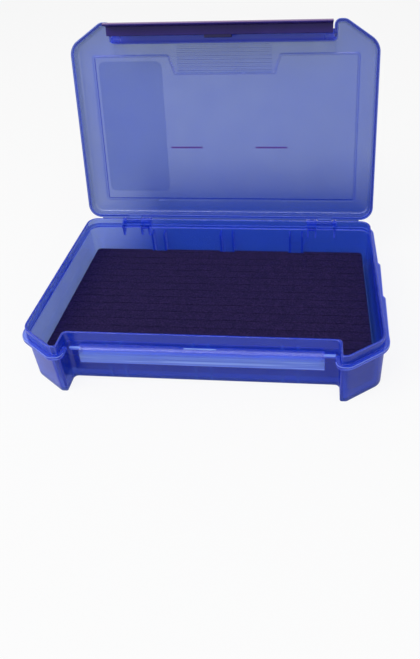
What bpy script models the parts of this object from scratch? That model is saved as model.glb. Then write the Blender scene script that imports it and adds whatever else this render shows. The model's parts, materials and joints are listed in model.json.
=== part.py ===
"""Hinged flat case with a slit foam bed, modelled in metres with +Z up.

The origin is the middle of the tray's underside. +X runs along the long side and -Y is the
front, where the latch closes. The lid stands open on its stop heels.
"""

import bpy
import bmesh
import math
from mathutils import Matrix, Vector

# Outline of the rim, seen from above
CASE_WIDTH = 0.2050
RIM_DEPTH = 0.1354
CORNER_ACROSS = 0.0220
CORNER_BACK = 0.0151
HORN_FRONT = 0.0076
RECESS_DEPTH = 0.0115
BACK_RADIUS = 0.0090
SIDE_RADIUS = 0.0120
TIP_RADIUS = 0.0060
INNER_RADIUS = 0.0040
RECESS_RADIUS = 0.0025
SMALLEST_RADIUS = 0.0002

# Play between pieces, and how far a cutter or a joined piece runs past a face
SEAT_GAP = 0.0003
OVERRUN = 0.0010

# Tray
FLANGE_TOP = 0.0290
LIP_RISE = 0.0056
FLANGE_THICK = 0.0020
WALL_INSET = 0.0025
WALL_DRAFT = 0.0006
WALL_THICK = 0.0016
FLOOR_THICK = 0.0016
FOOT_ROUND = 0.0008
CAVITY_ROUND = 0.0006
LIP_THICK = 0.0013
LIP_ROUND = 0.0003
LIP_STEP_BELOW = 0.0014
LIP_STEP_RISE = 0.0008
FLANGE_END_BACK = 0.0087

# Low grip steps on the flange's two long ends, each a wedge that rises towards the back
GRIP_OUT = 0.0012
GRIP_LENGTH = 0.0330
GRIP_RISE_LENGTH = 0.0022
GRIP_BACK = 0.0435
GRIP_COUNT = 2

# Upright ribs in pairs, on the tray's back wall and on its recess wall
RIB_THICK = 0.0013
RIB_SPACING = 0.0086
RIB_PAIR_PITCH = 0.0490
RIB_TOP_DROP = 0.0025
RIB_BACK_LENGTH = 0.0060
RIB_FRONT_LENGTH = 0.0031

# Catch ledge on the recess wall: down and out from where it leaves the wall
LEDGE_END_GAP = 0.0054
LEDGE_TOP_DROP = 0.0038
LEDGE_DROP = 0.0087
LEDGE_REACH = 0.0046
LEDGE_THICK = 0.0017
LEDGE_PROFILE_SHARES = ((0.42, 0.02), (0.76, 0.16), (0.93, 0.40), (1.0, 0.70), (1.0, 1.0))
LEDGE_RIDGE_HALF = 0.0090
LEDGE_RIDGE_HEIGHT = 0.0010
LEDGE_RIDGE_DEPTH = 0.0009
END_BIT_OVERLAP = 0.0010
END_BIT_HEIGHT = 0.0018
END_BIT_REACH = 0.0026

# Hinge: the axis lies behind and a little above the tray's flange
HINGE_BACK = 0.0028
HINGE_DROP = 0.0005
KNUCKLE_RADIUS = 0.0025
PIN_RADIUS = 0.0010
PIN_BORE_RADIUS = 0.0013
HINGE_END_INSET = 0.0251
BASE_KNUCKLE_LONG = 0.0072
LID_KNUCKLE_LONG = 0.0102
BASE_KNUCKLE_SHORT = 0.0028
KNUCKLE_SIDE_GAP = 0.0004
PIN_END_INSET = 0.0005
FIN_THICK = 0.0012
FIN_DROP = 0.0079
HEEL_REACH = 0.0043
HEEL_THICK = 0.0015
HEEL_RISE = 0.0018
LID_ARM_RISE = 0.0045
LID_OPEN_DEGREES = 102.4

# Lid, given as it lies closed
LID_GAP = 0.0003
LIP_HEADROOM = 0.0019
LID_RIM_THICK = 0.0020
LID_WALL_INSET = 0.0006
LID_WALL_DRAFT = 0.0003
LID_EDGE_DROP = 0.0025
LID_EDGE_ROUND = 0.0030
LID_ROUND_SHARES = ((0.0, 0.0), (0.20, 0.52), (0.53, 0.84), (1.0, 1.0))
LID_ROOF_THICK = 0.0016
LID_INNER_ROUND = 0.0013
LID_INNER_SHARES = ((0.0, 0.0), (0.31, 0.64), (1.0, 1.0))
PANEL_SINK = 0.0005
PANEL_INNER_MARGIN = 0.0012
PANEL_SIDE = 0.0130
PANEL_FRONT = 0.0223
PANEL_BACK = 0.0122
PANEL_RADIUS = 0.0012
THUMB_HALF_FRONT = 0.0382
THUMB_HALF_BACK = 0.0340
THUMB_DEPTH = 0.0119
RIDGE_HALF_WIDTH = 0.0325
RIDGE_THICK = 0.0011
RIDGE_HEIGHT = 0.00035
RIDGE_PITCH = 0.0024
RIDGE_COUNT = 8
RIDGE_BACK_GAP = 0.0009
LID_RIB_THICK = 0.0015
LID_RIB_LENGTH = 0.0080

# Latch, given as it lies locked
PIVOT_FRONT = 0.0034
PIVOT_RISE = 0.0037
PIVOT_RADIUS = 0.0010
PIVOT_BORE_RADIUS = 0.0013
EAR_RADIUS = 0.0019
EAR_LENGTH = 0.0033
SHELF_REACH = 0.0048
SHELF_THICK = 0.0013
SHELF_LIFT = 0.0002
LATCH_SIDE_GAP = 0.0014
LATCH_TOP_RISE = 0.0030
LATCH_TOP_THICK = 0.0008
LATCH_TOP_BACK = 0.0006
LATCH_SPINE = 0.0022
LATCH_FACE_TOP = 0.0038
LATCH_FACE_FOOT = 0.0051
LATCH_TAIL = 0.0094
LATCH_FOOT_INNER = 0.0031
LATCH_EDGE_ROUND = 0.0010
LATCH_EDGE_SHARE = 0.4
LATCH_FOOT_ROUND = 0.0007
HOOK_THICK = 0.0020
HOOK_OVERLAP = 0.0010
HOOK_TIP_THICK = 0.0013
HOOK_SLOPE = 0.0014
HOOK_ROOT = 0.0026
GROOVE_WIDTH = 0.0014
GROOVE_DEPTH = 0.0005
GROOVE_PITCH = 0.0048
GROOVE_FOOT_GAP = 0.0026
GROOVE_COUNT = 3
ARM_THICK = 0.0023
STUB_LENGTH = 0.0045
TAB_HALF_WIDTH = 0.0093
TAB_REACH = 0.0017
TAB_LOW = 0.0002
TAB_HIGH = 0.0016
LATCH_HANG_DEGREES = 7.0

# Foam bed and the adhesive sheet under it
FOAM_SIDE_INSET = 0.0075
FOAM_BACK_INSET = 0.0102
FOAM_TOP = 0.0134
FOAM_RADIUS = 0.0030
FOAM_TIP_RADIUS = 0.0012
ADHESIVE_THICK = 0.0003
ADHESIVE_INSET = 0.0030
SLIT_WIDTH = 0.0005
SLIT_DEPTH = 0.0080
SLIT_PITCH = 0.0071
FOAM_NOTCH_WIDTH = 0.0110
FOAM_NOTCH_DEPTH = 0.0015

# Blank label on the lid's panel
LABEL_LEFT_GAP = 0.0025
LABEL_RIGHT_GAP = 0.0048
LABEL_BACK_GAP = 0.0060
LABEL_FRONT_GAP = 0.0034
LABEL_THICK = 0.0002
LABEL_RADIUS = 0.0040

# Steps in each rounded corner
BACK_STEPS = 6
SIDE_STEPS = 5
TIP_STEPS = 3
INNER_STEPS = 4
RECESS_STEPS = 4
SMALL_STEPS = 3
ROUND_SIDES = 32

HALF_WIDTH = CASE_WIDTH / 2
BACK_Y = RIM_DEPTH / 2
FRONT_Y = -RIM_DEPTH / 2
HORN_INNER_X = HALF_WIDTH - CORNER_ACROSS - HORN_FRONT
RECESS_Y = FRONT_Y + RECESS_DEPTH
TRAY_HEIGHT = FLANGE_TOP + LIP_RISE
RIB_TOP = FLANGE_TOP - RIB_TOP_DROP
LEDGE_TOP = FLANGE_TOP - LEDGE_TOP_DROP
LEDGE_FOOT = LEDGE_TOP - LEDGE_DROP
LID_FOOT = FLANGE_TOP + LID_GAP
LID_RIM_TOP = LID_FOOT + LID_RIM_THICK
LID_ROOF_INNER = TRAY_HEIGHT + LIP_HEADROOM
LID_TOP = LID_ROOF_INNER + LID_ROOF_THICK
HINGE_Z = FLANGE_TOP - HINGE_DROP
PIVOT_Z = LID_FOOT + PIVOT_RISE
PANEL_FLOOR = LID_TOP - PANEL_SINK
HINGE_Y = BACK_Y + HINGE_BACK
PIVOT_Y = RECESS_Y - PIVOT_FRONT
LEDGE_HALF_WIDTH = HORN_INNER_X - LEDGE_END_GAP
PANEL_HALF_WIDTH = HALF_WIDTH - PANEL_SIDE
HINGE_OUTER = HALF_WIDTH - HINGE_END_INSET
LID_KNUCKLE_END = HINGE_OUTER - BASE_KNUCKLE_SHORT - KNUCKLE_SIDE_GAP
LID_KNUCKLE_START = LID_KNUCKLE_END - LID_KNUCKLE_LONG
HINGE_INNER = LID_KNUCKLE_START - KNUCKLE_SIDE_GAP - BASE_KNUCKLE_LONG


def fresh_scene():
    for item in list(bpy.data.objects):
        bpy.data.objects.remove(item, do_unlink=True)
    parts = bpy.data.collections.new("slit_foam_case")
    tools = bpy.data.collections.new("cutters")
    bpy.context.scene.collection.children.link(parts)
    bpy.context.scene.collection.children.link(tools)
    return parts, tools


PARTS, TOOLS = fresh_scene()


def material(name, colour, roughness, metallic=0.0, alpha=1.0):
    made = bpy.data.materials.new(name)
    made.use_nodes = True
    shader = made.node_tree.nodes["Principled BSDF"]
    shader.inputs["Base Color"].default_value = (*colour, 1.0)
    shader.inputs["Roughness"].default_value = roughness
    shader.inputs["Metallic"].default_value = metallic
    shader.inputs["Alpha"].default_value = alpha
    return made


def add(name, bm, collection=None):
    """Turn the edit mesh into an object with its faces pointing out."""
    bmesh.ops.recalc_face_normals(bm, faces=bm.faces)
    mesh = bpy.data.meshes.new(name)
    bm.to_mesh(mesh)
    bm.free()
    made = bpy.data.objects.new(name, mesh)
    (collection or TOOLS).objects.link(made)
    return made


def cut_or_fuse(body, tool, operation):
    modifier = body.modifiers.new(tool.name, "BOOLEAN")
    modifier.operation = operation
    modifier.solver = "EXACT"
    modifier.object = tool
    tool.parent = body
    tool.hide_render = True
    tool.display_type = "WIRE"


def cut(body, tool):
    cut_or_fuse(body, tool, "DIFFERENCE")


def fuse(body, tool):
    cut_or_fuse(body, tool, "UNION")


def mirrored(points):
    """A right half, back to front, followed by its left half, front to back."""
    return list(points) + [(-x, y) for x, y in reversed(points)]


def inset_corners(corners, distance):
    """Move each straight side of a closed outline inwards and find where they meet again.

    The outline runs clockwise seen from above, so inwards is to the right of each side.
    """
    count = len(corners)
    lines = []
    for index in range(count):
        a = Vector(corners[index])
        b = Vector(corners[(index + 1) % count])
        along = (b - a).normalized()
        lines.append((a + Vector((along.y, -along.x)) * distance, along))
    moved = []
    for index in range(count):
        p, u = lines[index - 1]
        q, v = lines[index]
        turn = u.x * v.y - u.y * v.x
        reach = ((q - p).x * v.y - (q - p).y * v.x) / turn
        moved.append(p + u * reach)
    return moved


def rounded(corners, radii, steps, distance=0.0):
    """An outline moved inwards, with an arc at each corner."""
    moved = inset_corners(corners, distance)
    count = len(moved)
    points = []
    for index, corner in enumerate(moved):
        before = (moved[index - 1] - corner).normalized()
        after = (moved[(index + 1) % count] - corner).normalized()
        outward_turn = before.x * after.y - before.y * after.x > 0
        radius = radii[index] - distance if outward_turn else radii[index] + distance
        radius = max(radius, SMALLEST_RADIUS)
        half = before.angle(after) / 2
        middle = corner + (before + after).normalized() * (radius / math.sin(half))
        start = corner + before * (radius / math.tan(half)) - middle
        sweep = (math.pi - 2 * half) * (-1 if outward_turn else 1)
        for step in range(steps[index] + 1):
            angle = sweep * step / steps[index]
            turned = Matrix.Rotation(angle, 2) @ start
            points.append(middle + turned)
    return points


def stack(name, levels, corners, radii, steps, collection=None):
    """A solid through one outline at several heights, each with its own inset."""
    bm = bmesh.new()
    place = bm.verts.layers.int.new("place")
    rings = [rounded(corners, radii, steps, inset) for height, inset in levels]
    base = []
    for index, point in enumerate(rings[0]):
        vert = bm.verts.new((point.x, point.y, levels[0][0]))
        vert[place] = index
        base.append(vert)
    underside = face = bm.faces.new(base)
    for (height, inset), ring in zip(levels[1:], rings[1:]):
        below = face
        grown = bmesh.ops.extrude_face_region(bm, geom=[below])["geom"]
        face = [item for item in grown if isinstance(item, bmesh.types.BMFace)][0]
        for vert in face.verts:
            point = ring[vert[place]]
            vert.co = (point.x, point.y, height)
        if below is not underside:
            bmesh.ops.delete(bm, geom=[below], context="FACES_ONLY")
    return add(name, bm, collection)


def bar(name, profile, start, end, collection=None):
    """A profile of (y, z) points drawn out along X."""
    bm = bmesh.new()
    face = bm.faces.new([bm.verts.new((start, y, z)) for y, z in profile])
    grown = bmesh.ops.extrude_face_region(bm, geom=[face])["geom"]
    moved = [item for item in grown if isinstance(item, bmesh.types.BMVert)]
    bmesh.ops.translate(bm, verts=moved, vec=(end - start, 0, 0))
    return add(name, bm, collection)


def plate(name, outline, low, high, collection=None):
    """An outline of (x, y) points drawn up from one height to another."""
    bm = bmesh.new()
    face = bm.faces.new([bm.verts.new((x, y, low)) for x, y in outline])
    grown = bmesh.ops.extrude_face_region(bm, geom=[face])["geom"]
    moved = [item for item in grown if isinstance(item, bmesh.types.BMVert)]
    bmesh.ops.translate(bm, verts=moved, vec=(0, 0, high - low))
    return add(name, bm, collection)


def block(name, low, high, collection=None):
    bm = bmesh.new()
    bmesh.ops.create_cube(bm, size=1.0)
    low, high = Vector(low), Vector(high)
    bmesh.ops.scale(bm, verts=bm.verts, vec=high - low)
    bmesh.ops.translate(bm, verts=bm.verts, vec=(low + high) / 2)
    return add(name, bm, collection)


def round_bar(name, radius, start, end, y, z, collection=None):
    """A cylinder along X."""
    bm = bmesh.new()
    bmesh.ops.create_cone(bm, cap_ends=True, cap_tris=False, segments=ROUND_SIDES,
                          radius1=radius, radius2=radius, depth=abs(end - start))
    turn = Matrix.Rotation(math.pi / 2, 3, "Y")
    bmesh.ops.rotate(bm, verts=bm.verts, matrix=turn)
    bmesh.ops.translate(bm, verts=bm.verts, vec=((start + end) / 2, y, z))
    return add(name, bm, collection)


def smooth(made, degrees=35):
    made.data.shade_smooth()
    made.data.set_sharp_from_angle(angle=math.radians(degrees))


# Rim outline: right half from the back corner to the recess, then the left half
RIM_HALF = [
    (HALF_WIDTH, BACK_Y),
    (HALF_WIDTH, FRONT_Y + CORNER_BACK),
    (HALF_WIDTH - CORNER_ACROSS, FRONT_Y),
    (HORN_INNER_X, FRONT_Y),
    (HORN_INNER_X, RECESS_Y),
]
RIM_CORNERS = mirrored(RIM_HALF)
RADII_HALF = [BACK_RADIUS, SIDE_RADIUS, TIP_RADIUS, INNER_RADIUS, RECESS_RADIUS]
RIM_RADII = RADII_HALF + RADII_HALF[::-1]
STEPS_HALF = [BACK_STEPS, SIDE_STEPS, TIP_STEPS, INNER_STEPS, RECESS_STEPS]
RIM_STEPS = STEPS_HALF + STEPS_HALF[::-1]


def rim_stack(name, levels, collection=None):
    return stack(name, levels, RIM_CORNERS, RIM_RADII, RIM_STEPS, collection)


def tray_wall_inset(height):
    """The tray wall leans out a little from the foot to the middle of the flange."""
    share = height / (FLANGE_TOP - FLANGE_THICK / 2)
    return WALL_INSET + WALL_DRAFT * (1 - share)


def pair_places():
    for centre in (-RIB_PAIR_PITCH, 0.0, RIB_PAIR_PITCH):
        for side in (-1, 1):
            yield centre + side * RIB_SPACING / 2


def build_tray(plastic):
    foot_inset = WALL_INSET + WALL_DRAFT
    tray = rim_stack("tray", [
        (0.0, foot_inset + FOOT_ROUND),
        (FOOT_ROUND, foot_inset),
        (FLANGE_TOP - FLANGE_THICK / 2, WALL_INSET),
        (TRAY_HEIGHT - LIP_ROUND, WALL_INSET),
        (TRAY_HEIGHT, WALL_INSET + LIP_ROUND),
    ], PARTS)
    tray.data.materials.append(plastic)

    # The flange stops short in the recess, where the latch and its ledge need the room
    end_y = FRONT_Y + FLANGE_END_BACK
    inside_wall = (WALL_INSET + WALL_INSET + WALL_THICK) / 2
    flange_half = RIM_HALF[:4] + [
        (HORN_INNER_X, end_y),
        (HORN_INNER_X + inside_wall, end_y),
        (HORN_INNER_X + inside_wall, RECESS_Y + inside_wall),
    ]
    radii = RADII_HALF[:4] + [SMALLEST_RADIUS] * 3
    steps = STEPS_HALF[:4] + [1, 1, 1]
    fuse(tray, stack("flange", [(FLANGE_TOP - FLANGE_THICK, 0.0), (FLANGE_TOP, 0.0)],
                     mirrored(flange_half), radii + radii[::-1], steps + steps[::-1]))

    for side in (-1, 1):
        for index in range(GRIP_COUNT):
            start_y = BACK_Y - GRIP_BACK - index * GRIP_LENGTH
            grip = [
                (side * (HALF_WIDTH - GRIP_OUT), start_y),
                (side * HALF_WIDTH, start_y),
                (side * (HALF_WIDTH + GRIP_OUT), start_y - GRIP_RISE_LENGTH),
                (side * (HALF_WIDTH - SMALLEST_RADIUS), start_y - GRIP_LENGTH),
                (side * (HALF_WIDTH - GRIP_OUT), start_y - GRIP_LENGTH),
            ]
            fuse(tray, plate("grip", grip, FLANGE_TOP - FLANGE_THICK + SMALLEST_RADIUS,
                             FLANGE_TOP - SMALLEST_RADIUS))

    # Catch ledge: a bent lip that hangs open below, closed at its two ends
    wall_y = RECESS_Y + tray_wall_inset(LEDGE_TOP)
    root_y = wall_y + WALL_THICK / 2
    outer = [(root_y, LEDGE_TOP)]
    inner = [(root_y, LEDGE_TOP - LEDGE_THICK)]
    for out_share, down_share in LEDGE_PROFILE_SHARES:
        outer.append((wall_y - LEDGE_REACH * out_share, LEDGE_TOP - LEDGE_DROP * down_share))
        thin_reach = LEDGE_REACH - LEDGE_THICK
        thin_drop = LEDGE_DROP - LEDGE_THICK
        inner.append((wall_y - thin_reach * out_share,
                      LEDGE_TOP - LEDGE_THICK - thin_drop * down_share))
    fuse(tray, bar("ledge", outer + inner[::-1], -LEDGE_HALF_WIDTH, LEDGE_HALF_WIDTH))
    foot_y = RECESS_Y + tray_wall_inset(LEDGE_FOOT) + WALL_THICK / 2
    for side in (-1, 1):
        fuse(tray, bar("ledge_end", outer + [(foot_y, LEDGE_FOOT)],
                       side * (LEDGE_HALF_WIDTH - LEDGE_THICK), side * LEDGE_HALF_WIDTH))
        low_z = LEDGE_TOP + SEAT_GAP - END_BIT_HEIGHT
        ends = sorted((side * (LEDGE_HALF_WIDTH - END_BIT_OVERLAP), side * (HORN_INNER_X + SEAT_GAP)))
        fuse(tray, block("ledge_bit", (ends[0], wall_y - END_BIT_REACH, low_z),
                         (ends[1], root_y, low_z + END_BIT_HEIGHT)))
    fuse(tray, block("ledge_ridge",
                     (-LEDGE_RIDGE_HALF, wall_y - LEDGE_RIDGE_DEPTH, LEDGE_TOP - LEDGE_THICK / 2),
                     (LEDGE_RIDGE_HALF, root_y, LEDGE_TOP + LEDGE_RIDGE_HEIGHT)))

    # Hinge knuckles with fins below them, and the heels that the open lid rests on
    wall_back = BACK_Y - WALL_INSET - WALL_THICK / 2
    short_start = HINGE_OUTER - BASE_KNUCKLE_SHORT
    short_end = HINGE_OUTER
    long_end = HINGE_INNER + BASE_KNUCKLE_LONG
    heel_y = HINGE_Y + HEEL_REACH
    fin = [
        (wall_back, HINGE_Z - FIN_DROP),
        (wall_back + WALL_THICK, HINGE_Z - FIN_DROP),
        (heel_y - HEEL_THICK, HINGE_Z - KNUCKLE_RADIUS),
        (heel_y, HINGE_Z - KNUCKLE_RADIUS / 2),
        (heel_y, HINGE_Z + HEEL_RISE),
        (heel_y - HEEL_THICK, HINGE_Z + HEEL_RISE),
        (HINGE_Y + KNUCKLE_RADIUS - SEAT_GAP, HINGE_Z + SEAT_GAP),
        (HINGE_Y, HINGE_Z),
        (wall_back, HINGE_Z),
    ]
    for side in (-1, 1):
        for start, end in ((HINGE_INNER, long_end), (short_start, short_end)):
            fuse(tray, round_bar("base_knuckle", KNUCKLE_RADIUS, side * start, side * end,
                                 HINGE_Y, HINGE_Z))
            low, high = sorted((side * start, side * end))
            fuse(tray, block("knuckle_web",
                             (low + SMALLEST_RADIUS, wall_back, HINGE_Z - KNUCKLE_RADIUS * 0.9),
                             (high - SMALLEST_RADIUS, HINGE_Y, HINGE_Z - SEAT_GAP)))
        fin_starts = (HINGE_INNER + SEAT_GAP, long_end - FIN_THICK - SEAT_GAP,
                      (short_start + short_end - FIN_THICK) / 2)
        for start in fin_starts:
            fuse(tray, bar("fin", fin, side * start, side * (start + FIN_THICK)))

    # Upright ribs, set in the walls' thickness and standing on the floor
    floor_z = FLOOR_THICK / 2
    back_face = BACK_Y - WALL_INSET - WALL_THICK
    front_face = RECESS_Y + WALL_INSET + WALL_THICK
    ribs = []
    for x in pair_places():
        ribs.append(block("back_rib", (x - RIB_THICK / 2, back_face - WALL_DRAFT - RIB_BACK_LENGTH, floor_z),
                          (x + RIB_THICK / 2, back_face + WALL_THICK / 2, RIB_TOP)))
        ribs.append(block("front_rib", (x - RIB_THICK / 2, front_face - WALL_THICK / 2, floor_z),
                          (x + RIB_THICK / 2, front_face + RIB_FRONT_LENGTH, RIB_TOP)))

    inside = foot_inset + WALL_THICK
    step_z = FLANGE_TOP - LIP_STEP_BELOW
    cut(tray, rim_stack("tray_cavity", [
        (FLOOR_THICK, inside + CAVITY_ROUND),
        (FLOOR_THICK + CAVITY_ROUND, inside),
        (step_z, WALL_INSET + WALL_THICK),
        (step_z + LIP_STEP_RISE, WALL_INSET + LIP_THICK),
        (TRAY_HEIGHT + OVERRUN, WALL_INSET + LIP_THICK),
    ]))
    for rib in ribs:
        fuse(tray, rib)
    for side in (-1, 1):
        cut(tray, round_bar("pin_bore", PIN_BORE_RADIUS, side * (HINGE_INNER - OVERRUN),
                            side * (short_end + OVERRUN), HINGE_Y, HINGE_Z))
    return tray


def build_pins(steel):
    pins = []
    for side, word in ((-1, "left"), (1, "right")):
        start = HINGE_INNER + PIN_END_INSET
        end = HINGE_OUTER - PIN_END_INSET
        pin = round_bar(f"hinge_pin_{word}", PIN_RADIUS, -(end - start) / 2, (end - start) / 2,
                        0.0, 0.0, PARTS)
        pin.location = (side * (start + end) / 2, HINGE_Y, HINGE_Z)
        pin.data.materials.append(steel)
        smooth(pin)
        pins.append(pin)
    return pins


def panel_corners():
    back = BACK_Y - PANEL_BACK
    front = FRONT_Y + PANEL_FRONT
    return mirrored([
        (PANEL_HALF_WIDTH, back),
        (PANEL_HALF_WIDTH, front),
        (THUMB_HALF_FRONT, front),
        (THUMB_HALF_BACK, front + THUMB_DEPTH),
    ])


def build_lid(plastic):
    wall = LID_WALL_INSET + LID_WALL_DRAFT
    levels = [(LID_FOOT, 0.0), (LID_RIM_TOP, 0.0), (LID_RIM_TOP, LID_WALL_INSET)]
    for in_share, up_share in LID_ROUND_SHARES:
        levels.append((LID_TOP - LID_EDGE_DROP * (1 - up_share), wall + LID_EDGE_ROUND * in_share))
    lid = rim_stack("lid", levels, PARTS)
    lid.data.materials.append(plastic)

    # Shelf over the catch ledge, and the ears that carry the latch's stubs
    lid_wall = LID_WALL_INSET + WALL_THICK
    shelf_low = LID_FOOT + SHELF_LIFT
    fuse(lid, block("shelf", (-HORN_INNER_X - SEAT_GAP, RECESS_Y - SHELF_REACH, shelf_low),
                    (HORN_INNER_X + SEAT_GAP, RECESS_Y + lid_wall / 2, shelf_low + SHELF_THICK)))
    ear_root = HORN_INNER_X + LID_WALL_INSET + WALL_THICK / 3
    ear_start = ear_root - EAR_LENGTH - WALL_THICK / 3
    for side in (-1, 1):
        fuse(lid, round_bar("ear", EAR_RADIUS, side * ear_start, side * ear_root, PIVOT_Y, PIVOT_Z))
        low, high = sorted((side * ear_start, side * ear_root))
        fuse(lid, block("ear_foot",
                        (low + SMALLEST_RADIUS, PIVOT_Y - EAR_RADIUS * 0.95, shelf_low + SHELF_THICK / 2),
                        (high - SMALLEST_RADIUS, PIVOT_Y + EAR_RADIUS * 0.95, PIVOT_Z)))

    # Hinge knuckle with its arm up the back wall
    lid_start = LID_KNUCKLE_START
    lid_end = LID_KNUCKLE_END
    arm_root = BACK_Y - LID_WALL_INSET - WALL_THICK / 2
    arm = [
        (arm_root, LID_FOOT + SEAT_GAP),
        (HINGE_Y - KNUCKLE_RADIUS * 0.6, HINGE_Z + KNUCKLE_RADIUS * 0.4),
        (HINGE_Y + KNUCKLE_RADIUS * 0.42, HINGE_Z + KNUCKLE_RADIUS * 0.88),
        (BACK_Y - LID_WALL_INSET + SEAT_GAP, LID_FOOT + LID_ARM_RISE),
        (arm_root, LID_FOOT + LID_ARM_RISE),
    ]
    for side in (-1, 1):
        fuse(lid, round_bar("lid_knuckle", KNUCKLE_RADIUS, side * lid_start, side * lid_end,
                            HINGE_Y, HINGE_Z))
        fuse(lid, bar("lid_arm", arm, side * (lid_start + SMALLEST_RADIUS),
                      side * (lid_end - SMALLEST_RADIUS)))

    # Sunk panel with the ridged thumb place in front of it
    radii = [PANEL_RADIUS] * 8
    cut(lid, stack("panel", [(PANEL_FLOOR, 0.0), (LID_TOP + OVERRUN, 0.0)],
                   panel_corners(), radii, [SMALL_STEPS] * 8))
    first_y = FRONT_Y + PANEL_FRONT + THUMB_DEPTH - RIDGE_BACK_GAP - RIDGE_THICK / 2
    for index in range(RIDGE_COUNT):
        y = first_y - index * RIDGE_PITCH
        fuse(lid, block("ridge", (-RIDGE_HALF_WIDTH, y - RIDGE_THICK / 2, LID_TOP - LID_ROOF_THICK / 2),
                        (RIDGE_HALF_WIDTH, y + RIDGE_THICK / 2, LID_TOP + RIDGE_HEIGHT)))

    # Hollow that goes over the tray's lip
    inner = WALL_INSET - SEAT_GAP
    cavity = [(LID_FOOT - OVERRUN, inner)]
    for in_share, up_share in LID_INNER_SHARES:
        cavity.append((LID_ROOF_INNER - LID_INNER_ROUND * (1 - up_share), inner + LID_INNER_ROUND * in_share))
    cut(lid, rim_stack("lid_cavity", cavity))

    # The roof keeps its thickness under the sunk panel, so the panel shows as a step inside too
    inner_panel = inset_corners(panel_corners(), -PANEL_INNER_MARGIN)
    fuse(lid, stack("inner_panel", [(LID_ROOF_INNER - PANEL_SINK, 0.0),
                                    (LID_ROOF_INNER + LID_ROOF_THICK / 3, 0.0)],
                    inner_panel, [PANEL_RADIUS] * 8, [SMALL_STEPS] * 8))

    rib_x = HORN_INNER_X + LID_WALL_INSET + WALL_THICK
    rib_low = TRAY_HEIGHT + SEAT_GAP
    rib_front = RECESS_Y + inner - WALL_THICK / 2
    for side in (-1, 1):
        low, high = sorted((side * (rib_x - LID_RIB_THICK), side * rib_x))
        fuse(lid, block("lid_rib", (low, rib_front, rib_low),
                        (high, rib_front + WALL_THICK / 2 + LID_RIB_LENGTH,
                         LID_ROOF_INNER + LID_ROOF_THICK / 3)))
        cut(lid, round_bar("lid_pin_bore", PIN_BORE_RADIUS, side * (lid_start - OVERRUN),
                           side * (lid_end + OVERRUN), HINGE_Y, HINGE_Z))
        cut(lid, round_bar("pivot_bore", PIVOT_BORE_RADIUS, side * (ear_start - OVERRUN),
                           side * (rib_x + OVERRUN), PIVOT_Y, PIVOT_Z))
    return lid, ear_start


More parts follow.
